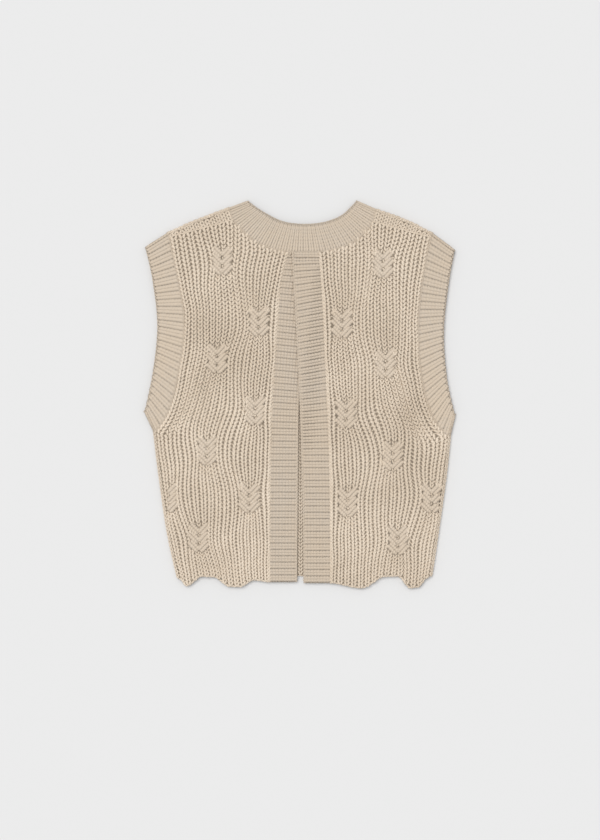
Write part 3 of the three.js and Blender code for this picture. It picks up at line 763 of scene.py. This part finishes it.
class Wire:
    """A socket of a material, so that its maths reads as an expression."""

    def __init__(self, shader, socket):
        self.shader, self.socket = shader, socket

    def math(self, operation, *others):
        values = dict(enumerate((self, *others)))
        return self.shader.node("ShaderNodeMath", values, operation=operation)

    def __add__(self, other):
        return self.math("ADD", other)

    def __mul__(self, other):
        return self.math("MULTIPLY", other)

    def __sub__(self, other):
        return self.math("SUBTRACT", other)

    def __rsub__(self, other):
        return self * -1 + other

    def __pow__(self, other):
        return self.math("POWER", other)


class Shader:
    """A material in the making."""

    def __init__(self, name):
        self.material = bpy.data.materials.new(name)
        self.material.use_nodes = True
        self.tree = self.material.node_tree
        self.surface = self.tree.nodes["Principled BSDF"]

    def node(self, kind, inputs, out=0, **settings):
        sockets = {key: getattr(value, "socket", value) for key, value in inputs.items()}
        return Wire(self, add_node(self.tree, kind, settings, sockets).outputs[out])

    def blend(self, factor, a, b):
        return self.node("ShaderNodeMix", {0: factor, 6: a, 7: b}, 2, data_type="RGBA")

    def split(self, wire):
        return [self.node("ShaderNodeSeparateXYZ", {0: wire}, k) for k in range(3)]

    def where(self):
        return self.node("ShaderNodeTexCoord", {}, "Object")

    def noise(self, scale, detail, where):
        inputs = {"Vector": where, "Scale": scale, "Detail": detail, "Roughness": 0.6}
        return self.node("ShaderNodeTexNoise", inputs)

    def bump(self, height, distance, strength, **under):
        inputs = {"Height": height, "Distance": distance, "Strength": strength, **under}
        return self.node("ShaderNodeBump", inputs)

    def finish(self, colour, roughness, normal, sheen=0.12):
        wires = {"Base Color": colour, "Roughness": roughness, "Normal": normal}
        for name, wire in wires.items():
            self.tree.links.new(wire.socket, self.surface.inputs[name])
        values = {"Sheen Weight": sheen, "Sheen Roughness": 0.5, "Specular IOR Level": 0.25}
        for name, value in values.items():
            self.surface.inputs[name].default_value = value
        return self.material


def heather(shader, colour, deep):
    """The yarn's own colour: a soft mottle over the garment and flecks in the yarn."""
    where = shader.where()
    mottle, marl = shader.noise(MOTTLE, 2.0, where), shader.noise(MARL, 3.0, where)
    fleck = shader.noise(FLECK, 2.0, where)
    tone = shader.blend((mottle - 0.35) * 1.6, colour, deep)
    tone = shader.blend((marl - 0.42) * 1.5, tone, deep)
    return shader.blend((fleck - 0.5) * 0.5, tone, deep), where, fleck


def yarn_material(name, colour, deep):
    """Plied wool yarn: twisted strands along each leg, with painted shade in the valleys between them and
    loose fibres over them.
    """
    shader = Shader(name)
    tone, where, fleck = heather(shader, colour, deep)
    along, cos, sin = shader.split(shader.node("ShaderNodeAttribute", {}, 1, attribute_name="ply"))
    turn = along * PLY_TURN
    twist = turn.math("SINE") * cos + turn.math("COSINE") * sin
    # Painted shade: the valleys between the twisted plies are darkened towards the deep colour.
    ply_valley_shade = (twist * -0.5 + 0.5) ** 3.0
    colour = shader.blend(ply_valley_shade * 0.35, tone, deep)
    normal = shader.bump(shader.noise(FIBRE, 3.0, where), 0.0004, 0.5)
    normal = shader.bump(twist, 0.0005, 0.7, Normal=normal)
    return shader.finish(colour, fleck * 0.12 + 0.8, normal)


def ground_material(name, colour, deep):
    """The cloth under and behind the stitches: the same knit, seen in the hollows, with painted shade in
    its grooves.
    """
    shader = Shader(name)
    tone, where, fleck = heather(shader, colour, deep)
    u, v, _ = shader.split(shader.node("ShaderNodeUVMap", {}, uv_map="knit"))
    off = (u.math("FRACT") - 0.5).math("ABSOLUTE")
    legs = ((v - off * 1.1) * (2 * np.pi)).math("SINE") * 0.5 + 0.5
    rib = (off * -2.0 + 1.0) ** 0.6
    height = rib * (legs * 0.6 + 0.4)
    # Painted shade: darker towards the deep colour where the knit lies low, between its ribs and legs.
    colour = shader.blend((1 - height) * 0.6, tone, deep)
    normal = shader.bump(shader.noise(CLOTH_FIBRE, 3.0, where), 0.0004, 0.5)
    normal = shader.bump(height, 0.0016, 0.8, Normal=normal)
    return shader.finish(colour, fleck * 0.1 + 0.85, normal)


def shaded(colour, share):
    """A colour darkened to a share of itself."""
    return (*(share * channel for channel in colour[:3]), 1.0)


def floor_material(colour):
    shader = Shader("pale_paper")
    grain = shader.noise(GRAIN, 2.0, shader.where())
    tone = shader.blend(grain, colour, shaded(colour, 0.985))
    return shader.finish(tone, grain * 0.05 + 0.85, shader.bump(grain, 0.0001, 0.1), 0.0)


def add_object(name, data):
    thing = bpy.data.objects.new(name, data)
    bpy.context.scene.collection.objects.link(thing)
    return thing


def leg_mesh(name, sides, rings):
    """One plump leg, a unit long, wide and high, fuller towards its upper end."""
    points, ply, faces = [(0, -0.5, 0)], [(-0.5, 1, 0)], []
    for level in np.linspace(-0.42, 0.42, rings):
        full = 0.5 * (1 - (abs(level) * 2) ** 2.6) ** 0.5 * (1 + 0.22 * level)
        rise = 0.10 * np.cos(np.pi * level)
        for s in range(sides):
            angle = 2 * np.pi * (s + 0.25) / sides
            points.append((full * np.cos(angle), level, full * np.sin(angle) + rise - 0.05))
            ply.append((level, np.cos(angle), np.sin(angle)))
    points.append((0, 0.5, 0))
    ply.append((0.5, 1, 0))
    last = len(points) - 1
    for s in range(sides):
        n = (s + 1) % sides
        faces.append((0, 1 + s, 1 + n))
        faces.append((last, last - sides + n, last - sides + s))
        for k in range(rings - 1):
            a, b = 1 + k * sides, 1 + (k + 1) * sides
            faces.append((a + s, b + s, b + n, a + n))
    mesh = bpy.data.meshes.new(name)
    mesh.from_pydata(points, [], faces)
    layer = mesh.attributes.new("ply", "FLOAT_VECTOR", "POINT")
    layer.data.foreach_set("vector", np.array(ply, float).ravel())
    return mesh


# What the tree of stitches is given
TREE_INPUTS = {
    "Points": "Geometry",
    "Leg": "Object",
    "Yarn": "Material",
    "Plumpness": "Float",
    "Unevenness": "Float",
    "Seed": "Int",
}


def stitch_tree():
    """Sets a leg on every point, turned and sized by the point's own attributes."""
    tree = bpy.data.node_groups.new("knit_stitches", "GeometryNodeTree")
    for name, kind in TREE_INPUTS.items():
        tree.interface.new_socket(name, in_out="INPUT", socket_type=f"NodeSocket{kind}")
    tree.interface.new_socket("Stitches", in_out="OUTPUT", socket_type="NodeSocketGeometry")
    given = tree.nodes.new("NodeGroupInput").outputs

    def node(kind, inputs, out=0, **settings):
        return add_node(tree, kind, settings, inputs).outputs[out]

    def maths(operation, a, b):
        return node("ShaderNodeMath", {0: a, 1: b}, operation=operation)

    along, outward, size = (
        node("GeometryNodeInputNamedAttribute", {"Name": name}, data_type="FLOAT_VECTOR")
        for name in ("along", "outward", "size")
    )
    leg = node("GeometryNodeObjectInfo", {"Object": given["Leg"], "As Instance": True}, "Geometry")
    axes = {"Primary Axis": along, "Secondary Axis": outward}
    turn = node("FunctionNodeAxesToRotation", axes, primary_axis="Y", secondary_axis="Z")
    less, more = (maths(operation, 1.0, given["Unevenness"]) for operation in ("SUBTRACT", "ADD"))
    chance = {2: less, 3: more, "Seed": given["Seed"]}
    uneven = node("FunctionNodeRandomValue", chance, 1, data_type="FLOAT")
    plump = maths("MULTIPLY", uneven, given["Plumpness"])
    scale = node("ShaderNodeVectorMath", {0: size, "Scale": plump}, operation="SCALE")
    legs = {"Points": given["Points"], "Instance": leg, "Rotation": turn, "Scale": scale}
    placed = node("GeometryNodeInstanceOnPoints", legs)
    real = node("GeometryNodeRealizeInstances", {"Geometry": placed})
    smooth = node("GeometryNodeSetShadeSmooth", {"Geometry": real})
    dressed = node("GeometryNodeSetMaterial", {"Geometry": smooth, "Material": given["Yarn"]})
    add_node(tree, "NodeGroupOutput", {}, {0: dressed})


def knit_up(name, legs, yarn, leg_name="stitch_leg", seed=1):
    """Turns points into one plain mesh of stitches."""
    settings = bpy.context.scene.vest_yarn
    carrier = add_object(name + "_points", legs.points(name + "_points"))
    tree = bpy.data.node_groups["knit_stitches"]
    modifier = carrier.modifiers.new("stitches", "NODES")
    modifier.node_group = tree
    values = {
        "Leg": bpy.data.objects[leg_name],
        "Yarn": bpy.data.materials[yarn],
        "Plumpness": settings.plumpness,
        "Unevenness": settings.unevenness,
        "Seed": seed,
    }
    for item in tree.interface.items_tree:
        if item.name in values:
            modifier[item.identifier] = values[item.name]
    bpy.context.view_layer.update()
    ready = carrier.evaluated_get(bpy.context.evaluated_depsgraph_get())
    mesh = bpy.data.meshes.new_from_object(ready)
    mesh.name = name
    places = places_of(mesh)
    places[:, 2] = np.maximum(places[:, 2], RESTING * MM)
    mesh.vertices.foreach_set("co", places.ravel())
    for attribute in ("along", "outward", "size"):
        if attribute in mesh.attributes:
            mesh.attributes.remove(mesh.attributes[attribute])
    points = carrier.data
    bpy.data.objects.remove(carrier)
    bpy.data.meshes.remove(points)
    return add_object(name, mesh)


def places_of(mesh):
    """Where a mesh's vertices lie, one row each."""
    places = np.zeros(3 * len(mesh.vertices))
    mesh.vertices.foreach_get("co", places)
    return places.reshape(-1, 3)


def turn_outwards(mesh):
    """Turns a closed mesh's faces out, if they point in."""
    mesh.calc_loop_triangles()
    p = places_of(mesh)[np.array([t.vertices[:] for t in mesh.loop_triangles])]
    if np.einsum("ij,ij->i", p[:, 0], np.cross(p[:, 1], p[:, 2])).sum() < 0:
        mesh.flip_normals()


def closed_faces(number, ring):
    """The faces of a closed sheet, from the numbers of its outer and its inner grid."""
    faces = []
    if ring:
        number = np.concatenate([number, number[:, :1]], axis=1)
    for layer, flip in ((number[0], False), (number[1], True)):
        quads = np.stack([layer[:-1, :-1], layer[:-1, 1:], layer[1:, 1:], layer[1:, :-1]], -1)
        faces += (quads[..., ::-1] if flip else quads).reshape(-1, 4).tolist()
    edges = [] if ring else [(number[:, 0], False), (number[:, -1], True)]
    for edge, flip in (*edges, (number[:, :, 0], True), (number[:, :, -1], False)):
        quads = np.stack([edge[0, :-1], edge[1, :-1], edge[1, 1:], edge[0, 1:]], -1)
        faces += (quads[..., ::-1] if flip else quads).tolist()
    return faces


def closed_sheets(name, sheets, material):
    """One cloth mesh of closed sheets. A sheet is an outer grid, an inner grid, its knit's
    ribs and rows, and whether its rows join up in a ring."""
    points, faces, knit = [], [], []
    for outer, inner, ribs_rows, ring in sheets:
        first = sum(len(p) for p in points)
        number = first + np.arange(2 * outer[..., 0].size).reshape(2, *outer.shape[:2])
        points += [outer.reshape(-1, 3), inner.reshape(-1, 3)]
        knit += [ribs_rows.reshape(-1, 2)] * 2
        faces += closed_faces(number, ring)
    mesh = bpy.data.meshes.new(name)
    mesh.from_pydata((np.vstack(points) * MM).tolist(), [], faces)
    layer = mesh.uv_layers.new(name="knit")
    corners = np.zeros(len(mesh.loops), int)
    mesh.loops.foreach_get("vertex_index", corners)
    layer.data.foreach_set("uv", np.vstack(knit)[corners].ravel())
    mesh.polygons.foreach_set("use_smooth", [True] * len(mesh.polygons))
    mesh.materials.append(bpy.data.materials[material])
    turn_outwards(mesh)
    return add_object(name, mesh)


def dress(cloth, stitches, node):
    """Stands a cloth and its stitches in for a node of the frame."""
    slot = "band_knit" if "band" in node or "strip" in node else "rib_knit"
    for piece in (cloth, *stitches):
        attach(piece, "root")
    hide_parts(node)


def gauge():
    return bpy.context.scene.vest_gauge


def body_gauge():
    return gauge().body_ribs, gauge().body_rows


def rolled_sheet(half, layer, rows):
    """The cloth of a side fold, from its outermost line to a layer: 1 is up and -1 down."""
    turn, level = np.meshgrid(layer * ROLL_TURNS, np.linspace(FOLD_START["cloth"], half.underarm, 50))
    outer, _ = half.rolled(level, turn, ground_radius(turn))
    inner, _ = half.rolled(level, turn, FOLD_INSIDE)
    clear = FOLD_HEIGHT + layer * FOLD_CLEAR
    inner[..., 2] = layer * np.maximum(layer * inner[..., 2], layer * clear)
    return outer, inner, pairs(turn / 90 * 0.6, level * rows), False


def fold_stitches(legs, half, layer, rows):
    """A column of stitches beside a side fold on a layer, and the fold's closed hem."""
    level = np.linspace(FOLD_START["stitches"], half.underarm, round(rows * half.underarm))
    turn = layer * FOLD_TURN
    place, outward = half.rolled(level, turn, ground_radius(turn))
    up = np.gradient(place, axis=0)
    stitch(legs, place, up, unit(np.cross(up, outward)) * FOLD_RIB, outward, FOLD_GAUGE)
    first, steps = max(90 * layer, 0), 20
    hem = np.full(steps, FOLD_START["hem"])
    line, _ = half.rolled(hem, np.linspace(first, first - 90, steps), 1.8)
    chain(legs, line, (0, -1, 0), "fold_hem")


def back_cloth(side):
    half = HALVES[side]
    ribs, rows = body_gauge()
    level, a = grid(90, 60)
    middle = half.place(a, level)
    body = middle + BACK_GROUND * UP, middle + BACK_INSIDE * UP, pairs(a * ribs, level * rows), False
    return closed_sheets(f"back_{side}_cloth", [body, rolled_sheet(half, 1, rows)], "shaded_rib_ground")


def back_field(half, a, offset):
    """A field of stitches on a back half, gone down behind the leaf cables."""
    ribs, rows = body_gauge()
    place, up, across = rib_field(half.place, a[None, :], row_levels(rows, offset), ribs, rows)
    place = wander(place)
    place[..., 2] += BACK_GROUND - half.sunk(place)
    return place, up, across


def back_stitches(side):
    half = HALVES[side]
    ribs, rows = body_gauge()
    legs = Legs()
    stitch(legs, *back_field(half, middles(ribs), 0.5), UP, BODY_GAUGE)
    fold_stitches(legs, half, 1, rows)
    hem = half.place(shares(200), 0.0) + (BACK_GROUND + BACK_INSIDE) / 2 * UP
    chain(legs, hem, UP, "back_hem")
    seam = half.place(0.993, shares(300)) + (BACK_GROUND + 0.4) * UP
    chain(legs, seam, UP, "back_seam")
    return knit_up(f"back_{side}_stitches", legs, "rib_yarn", seed=3 + SIDES.index(side))


def back_leaves(side):
    """The leaf cables of a back half."""
    legs = Legs()
    for middle in CABLES[side]:
        ground = BACK_GROUND + float(lap(side, *np.array(middle, float)))
        leaf_cable(legs, middle, ground, UP, HALVES[side].holds, *LEAF_LIE["back"])
    return knit_up(f"back_{side}_leaves", legs, "shaded_leaf_yarn", seed=7 + SIDES.index(side))


def back_loops(side):
    """The loops across the grooves between the ribs of a back half, and behind its ribs."""
    half, (ribs, _) = HALVES[side], body_gauge()
    legs = Legs()
    place, up, across = back_field(half, np.arange(ribs + 1) / ribs, 1.0)
    across[:, [0, -1]] *= 2
    rung(legs, place, up, across, UP, 0.3)
    rung(legs, *back_field(half, middles(ribs), 0.5), UP, 0.1, 0.5)
    return knit_up(f"back_{side}_loops", legs, "loop_yarn", "under_leg", seed=5 + SIDES.index(side))


def strip_place(side, share, level):
    """A place of a centre strip: share runs from its seam to its free edge."""
    share, level = np.broadcast_arrays(np.asarray(share, float), level)
    sway = STRIP_SWAY[side] * ease(level, *SWAY_GROWS) * (1 - ease(level, *SWAY_ENDS))
    level = np.clip(level + sway * (0.5 - share), 0, 1)
    flat = mix(STRIP_SEAMS[side].at(level), STRIP_FREE[side].at(level), share[..., None])
    flat[..., 1] = np.minimum(flat[..., 1], NECK_SEAMS["back"].y_at(flat[..., 0]) - SEAM_GAP)
    return raised(flat, lap(side, flat[..., 0], flat[..., 1]) + BACK_INSIDE)


def strip_cloth(side):
    level, share = grid(180, 9)
    inner = strip_place(side, share, level)
    outer = inner.copy()
    outer[..., 2] += STRIP_WALL * thinned(inner[..., 1])
    knit = pairs(level * gauge().strip_ribs, share * STRIP_ROWS)
    return closed_sheets(f"strip_{side}_cloth", [(outer, inner, knit, False)], "shaded_band_ground")


def strip_stitches(side):
    legs, ribs = Legs(), gauge().strip_ribs
    level, share = middles(ribs)[:, None], 0.94 * middles(STRIP_ROWS)[None, :]
    row, rib = 0.5 / STRIP_ROWS, 0.25 / ribs
    place = strip_place(side, share, level)
    up = strip_place(side, share + row, level) - strip_place(side, share - row, level)
    ahead, behind = (strip_place(side, share, np.minimum(level + step, 1)) for step in (rib, -rib))
    place[..., 2] += STRIP_GROUND * thinned(place[..., 1])
    stitch(legs, place, up, (ahead - behind) * 2, UP, STRIP_GAUGE)
    chain(legs, strip_place(side, 0.985, shares(300)) + STRIP_GROUND * UP, UP, "strip_edge")
    chain(legs, strip_place(side, shares(40), 0.0) + STRIP_MIDDLE * UP, UP, "strip_hem")
    return knit_up(f"strip_{side}_stitches", legs, "shaded_strip_yarn", seed=11 + SIDES.index(side))


def band_cloth(name, band, ribs):
    way = np.linspace(0, 1, 260, endpoint=False)[:, None]
    share = np.linspace(0.01, 1, 9)[None, :]
    outer = band.place(way, share)
    inner = outer - band.outward(way) * BAND_WALL
    sheet = outer, inner, pairs(way * ribs, share * 9), True
    return closed_sheets(f"{name}_cloth", [sheet], "shaded_band_ground")


def band_stitches(name, band, ribs, gauge, seed, rows=7):
    legs = Legs()
    way, breadth = band.ribs(ribs)
    share = np.linspace(0.21, 0.94, rows)[None, :]
    place = band.place(way, share)
    up = band.place(way, share + 0.5 / rows) - band.place(way, share - 0.5 / rows)
    beside = (way + step * breadth for step in (0.25, -0.25))
    ahead, behind = (band.place(at, share) + band.outward(at) * BAND_CREST for at in beside)
    outward = np.broadcast_to(band.outward(way), place.shape)
    stitch(legs, place, up, 2 * (ahead - behind), outward, gauge)
    way = shares(700)
    for kind, share, drop in (("band_edge", 0.02, 0.6), ("band_seam", 1.0, -0.4)):
        chain(legs, band.place(way, share) - band.outward(way) * drop, band.outward, kind)
    return knit_up(f"{name}_stitches", legs, "shaded_band_yarn", seed=seed)


def front_cloth():
    ribs, rows = body_gauge()
    level, across = grid(70, 80)
    middle = FRONT.place(across, level)
    knit = pairs(across * 2.3 * ribs, level * rows)
    sheets = [(middle + FRONT_GROUND * UP, middle + FRONT_INSIDE * UP, knit, False)]
    for side in SIDES:
        sheets += [rolled_sheet(HALVES[side], -1, rows), shoulder_wrap(side)]
    return closed_sheets("front_cloth", sheets, "shaded_rib_ground")


def on_shoulder(side, share, distance):
    """A place on the front's wrap over a shoulder: share runs from the neckband to the arm,
    and distance from the table, round the fold and on to the shoulder seam at 1."""
    share, distance = np.broadcast_arrays(np.asarray(share, float), distance)
    centre, out = shoulder_fold(side, share)
    turn = np.clip(distance / ROUND_FOLD, 0, 1) * 180 - 90
    round_edge = 0.9 * np.cos(np.radians(turn))
    place = over_fold(centre, out, ground_radius(turn) + round_edge, turn)
    part = np.clip((distance - ROUND_FOLD) / (1 - ROUND_FOLD), 0, 1)
    seam = mix(*shoulder_seam_ends(side, -SEAM_GAP), share[..., None])
    place[..., :2] = mix(place[..., :2], seam, part[..., None])
    return place, fold_normal(out, turn)


def shoulder_wrap(side):
    share, distance = grid(30, 22)
    outer, outward = on_shoulder(side, share, distance)
    return outer, outer - outward * SHOULDER_WALL, pairs(share * 11, distance * 5), False


def shoulder_rib(legs, side, share):
    """One rib of stitches over a shoulder, with the loops between its rows and beside it."""
    distance, step = shares(120), 0.25 / SHOULDER_RIBS
    run = distances(on_shoulder(side, share, distance)[0])
    where = np.interp(middles(max(2, round(run[-1] / 5.0))) * run[-1], run, distance)
    place, outward = on_shoulder(side, share, where)
    up = np.gradient(place + outward, axis=0)
    ahead, behind = (on_shoulder(side, share + off, where)[0] for off in (step, -step))
    across = (ahead - behind) * 2
    stitch(legs, place, up, across, outward, FOLD_GAUGE)
    rung(legs, place + up / 2, up, across, outward, 0.2)
    rung(legs, place + across / 2, up, across, outward, 0.1)


def shoulder_stitches(legs, side):
    for share in middles(SHOULDER_RIBS):
        shoulder_rib(legs, side, share)
    for distance, drop, kind in SHOULDER_RIDGES:
        ridge, outward = on_shoulder(side, np.linspace(0.01, 0.99, 80), distance)
        chain(legs, ridge, outward[40], kind, drop)
    seam, _ = on_shoulder(side, shares(80), 1.0)
    chain(legs, seam + 0.8 * UP, UP, "shoulder_seam")


def front_stitches(side):
    """The flattened stitches of the side that lies on the table."""
    ribs, rows = body_gauge()
    ribs = round(1.15 * ribs)
    legs = Legs()
    across = ((SIDES.index(side) + middles(ribs)) / 2)[None, :]
    place, up, step = rib_field(FRONT.place, across, row_levels(rows), 2 * ribs, rows)
    place = wander(place) + FRONT_GROUND * UP
    sunk = in_cable(CABLES[side], place[..., 0], place[..., 1]) * 0.5
    stitch(legs, place - sunk[..., None] * DOWN, up, step, DOWN, UNDER_GAUGE)
    for middle in CABLES[side]:
        leaf_cable(legs, middle, FRONT_GROUND, DOWN, HALVES[side].holds, *LEAF_LIE["front"])
    return knit_up(f"front_stitches_{side}", legs, "rib_yarn", "under_leg", seed=21 + SIDES.index(side))


def front_edges():
    """The stitches of the folds and the hem, and of the inside that shows in the slit."""
    legs = Legs()
    for side in SIDES:
        fold_stitches(legs, HALVES[side], -1, body_gauge()[1])
        shoulder_stitches(legs, side)
    hem = FRONT.place(shares(400), 0.0) + (FRONT_GROUND + FRONT_INSIDE) / 2 * UP
    chain(legs, hem, UP, "front_hem")
    row, rib = 5.0, 8.0
    y = np.arange(-250, -10, row)
    for x in (1 - rib, 1, 1 + rib):
        place = raised(pairs(x, y), FRONT_INSIDE - 0.7)
        up, across = (np.full(place.shape, step) for step in ((0, row, 0), (rib, 0, 0)))
        stitch(legs, place, up, across, UP, UNDER_GAUGE)
    return knit_up("front_edges", legs, "rib_yarn", seed=25)


def setting(kind, name, description, default, low, high, **more):
    return kind(name=name, description=description, default=default, min=low, max=high, **more)


def colour_setting(name, description, *rgb):
    return setting(FloatVectorProperty, name, description, (*rgb, 1.0), 0, 1, subtype="COLOR", size=4)


class VestYarn(bpy.types.PropertyGroup):
    """Colours and fullness of the yarn."""

    colour: colour_setting("Yarn colour", "The oatmeal beige of the yarn in the light", 0.85, 0.735, 0.602)
    # Painted shade: the bands and strips are the body's yarn darkened, to stand for the shade on their
    # close knit.
    shaded_band_colour: colour_setting(
        "Band yarn colour", "The same yarn knitted close, in the bands and strips", 0.575, 0.493, 0.403
    )
    # Painted shade: the leaf cables are the body's yarn darkened, to hold down the light that the raised
    # cables catch.
    shaded_leaf_colour: colour_setting(
        "Leaf yarn colour", "The same yarn lying flat, in the leaf cables", 0.685, 0.585, 0.475
    )
    # The deep colour is both the yarn's own darker flecks and the painted shade in the hollows of the
    # cloth and between the plies.
    deep: colour_setting(
        "Shaded yarn colour", "The darker, browner tone of the yarn's flecks and hollows", 0.6, 0.49, 0.37
    )
    plumpness: setting(
        FloatProperty, "Plumpness", "How full the legs are, against their gauge", 1.0, 0.5, 1.5
    )
    unevenness: setting(
        FloatProperty, "Unevenness", "How far the stitches differ in size", 0.05, 0, 0.3
    )


class VestGauge(bpy.types.PropertyGroup):
    """How many ribs and rows the knit has."""

    body_ribs: setting(IntProperty, "Body ribs", "Ribs across each back half", 15, 6, 30)
    body_rows: setting(IntProperty, "Body rows", "Rows from the hem to the shoulder", 92, 40, 160)
    strip_ribs: setting(IntProperty, "Strip ribs", "Ribs down each centre strip", 52, 20, 90)
    neck_ribs: setting(IntProperty, "Neckband ribs", "Ribs round the whole neckband", 78, 30, 140)
    arm_ribs: setting(IntProperty, "Armband ribs", "Ribs round each whole armband", 52, 30, 120)


class VestStage(bpy.types.PropertyGroup):
    """The table, the light and the camera."""

    floor: colour_setting("Table colour", "The pale surface that the vest lies on", 0.7, 0.7, 0.7)
    lens: setting(FloatProperty, "Lens", "Focal length of the camera", 100, 35, 300, unit="CAMERA")
    key: setting(FloatProperty, "Key light", "Strength of the key light", 1.85, 0, 20)
    fill: setting(FloatProperty, "Fill light", "Strength of the light all round", 0.65, 0, 20)


class VEST_OT_stage(bpy.types.Operator):
    """Lay the pale table, light it softly and look straight down as the photograph does"""

    bl_idname = "vest.stage"
    bl_label = "Stage"

    PIXEL = 0.0014  # one pixel of the photograph on the table
    FRAME = (600, 840)
    VEST_MIDDLE = (299.75, 393.75)  # where the vest's middle lies in the photograph

    def execute(self, context):
        scene, stage = context.scene, context.scene.vest_stage
        scene.view_settings.view_transform = "Standard"
        bpy.ops.mesh.primitive_plane_add(size=8)
        floor = context.object
        floor.name = "table"
        floor.data.materials.append(floor_material(tuple(stage.floor)))
        scene.camera = self.camera(stage.lens)
        key = add_object("key", bpy.data.lights.new("key", "SUN"))
        key.data.energy, key.data.angle = stage.key, 0.7
        key.rotation_euler = (-0.28, -0.24, 0)
        scene.world = scene.world or bpy.data.worlds.new("room")
        scene.world.use_nodes = True
        sky = scene.world.node_tree.nodes["Background"]
        sky.inputs[0].default_value = (1, 1, 1, 1)
        sky.inputs[1].default_value = stage.fill
        return {"FINISHED"}

    def camera(self, lens):
        """A camera straight above that frames the table as the photograph does."""
        camera = add_object("camera", bpy.data.cameras.new("camera"))
        camera.data.lens = lens
        height = self.FRAME[1] * self.PIXEL * lens / camera.data.sensor_width
        x = (self.FRAME[0] / 2 - self.VEST_MIDDLE[0]) * self.PIXEL
        y = (self.VEST_MIDDLE[1] - self.FRAME[1] / 2) * self.PIXEL
        camera.location = (x, y, height)
        return camera


class VEST_OT_yarn(bpy.types.Operator):
    """Make the yarn's materials and the legs that every stitch is made of"""

    bl_idname = "vest.yarn"
    bl_label = "Yarn"

    def execute(self, context):
        yarn = context.scene.vest_yarn
        deep, band = tuple(yarn.deep), tuple(yarn.shaded_band_colour)
        # Painted shade: the cloth behind the body's stitches takes the deep colour darkened further, for
        # the shade in the hollows between them.
        hollow_shade = shaded(deep, 0.7)
        yarn_material("rib_yarn", tuple(yarn.colour), deep)
        ground_material("shaded_rib_ground", hollow_shade, shaded(hollow_shade, 0.5))
        # Painted shade: the bands' yarn is the darkened band colour.
        yarn_material("shaded_band_yarn", band, deep)
        yarn_material("shaded_leaf_yarn", tuple(yarn.shaded_leaf_colour), deep)
        # Painted shade: the strips' yarn is the band yarn a little darker.
        yarn_material("shaded_strip_yarn", shaded(band, 0.99), deep)
        yarn_material("loop_yarn", tuple(yarn.colour), deep)
        # Painted shade: the bands' cloth takes the darkened band colour, with painted shade in its
        # grooves.
        ground_material("shaded_band_ground", band, deep)
        stitch_tree()
        for name, sides, rings in (("stitch_leg", 5, 4), ("under_leg", 4, 3)):
            leg = add_object(name, leg_mesh(name, sides, rings))
            leg.hide_render = True
            leg.hide_set(True)
        return {"FINISHED"}


class VEST_OT_front(bpy.types.Operator):
    """Knit the front, which lies underneath and wraps over each shoulder"""

    bl_idname = "vest.front"
    bl_label = "Front"

    def execute(self, context):
        stitches = [*(front_stitches(side) for side in SIDES), front_edges()]
        dress(front_cloth(), stitches, "front")
        return {"FINISHED"}


class VEST_OT_back(bpy.types.Operator):
    """Knit the two halves of the back in rib with leaf cables"""

    bl_idname = "vest.back"
    bl_label = "Back halves"

    def execute(self, context):
        for side in SIDES:
            stitches = [back_stitches(side), back_loops(side), back_leaves(side)]
            dress(back_cloth(side), stitches, f"back_{side}")
        return {"FINISHED"}


class VEST_OT_strips(bpy.types.Operator):
    """Knit the two ribbed strips of the centre opening"""

    bl_idname = "vest.strips"
    bl_label = "Centre strips"

    def execute(self, context):
        for side in SIDES:
            dress(strip_cloth(side), [strip_stitches(side)], f"strip_{side}")
        return {"FINISHED"}


class VEST_OT_bands(bpy.types.Operator):
    """Knit the neckband and the two armhole bands"""

    bl_idname = "vest.bands"
    bl_label = "Bands"

    def execute(self, context):
        bands = [("neckband", neck_ring(), gauge().neck_ribs, BAND_GAUGE, 31, 0.037)]
        for seed, side in enumerate(SIDES, 33):
            bands.append((f"armband_{side}", arm_ring(side), gauge().arm_ribs, ARM_GAUGE, seed, 0.036))
        for name, ring, *knit, width in bands:
            cloth = band_cloth(name, ring, knit[0])
            dress(cloth, [band_stitches(name, ring, *knit)], name)
        return {"FINISHED"}


class VEST_PT_panel(bpy.types.Panel):
    """The vest's settings and the steps that make it"""

    bl_idname = "VEST_PT_panel"
    bl_label = "Knitted Vest"
    bl_space_type = "VIEW_3D"
    bl_region_type = "UI"
    bl_category = "Knitted Vest"

    def draw(self, context):
        for group in GROUPS:
            box = self.layout.box()
            for name in GROUPS[group].__annotations__:
                box.prop(getattr(context.scene, group), name)
        for step in STEPS:
            self.layout.operator(step.bl_idname)


STEPS = (VEST_OT_stage, VEST_OT_yarn, VEST_OT_front, VEST_OT_back, VEST_OT_strips, VEST_OT_bands)
CLASSES = (VestYarn, VestGauge, VestStage, *STEPS, VEST_PT_panel)
GROUPS = {"vest_yarn": VestYarn, "vest_gauge": VestGauge, "vest_stage": VestStage}


def register():
    for cls in CLASSES:
        bpy.utils.register_class(cls)
    for name, group in GROUPS.items():
        setattr(bpy.types.Scene, name, PointerProperty(type=group))


def unregister():
    for name in GROUPS:
        delattr(bpy.types.Scene, name)
    for cls in reversed(CLASSES):
        bpy.utils.unregister_class(cls)


def main():
    register()
    bpy.ops.vest.stage()
    bpy.ops.vest.yarn()
    bpy.ops.vest.front()
    bpy.ops.vest.back()
    bpy.ops.vest.strips()
    bpy.ops.vest.bands()


if __name__ == "__main__":
    main()
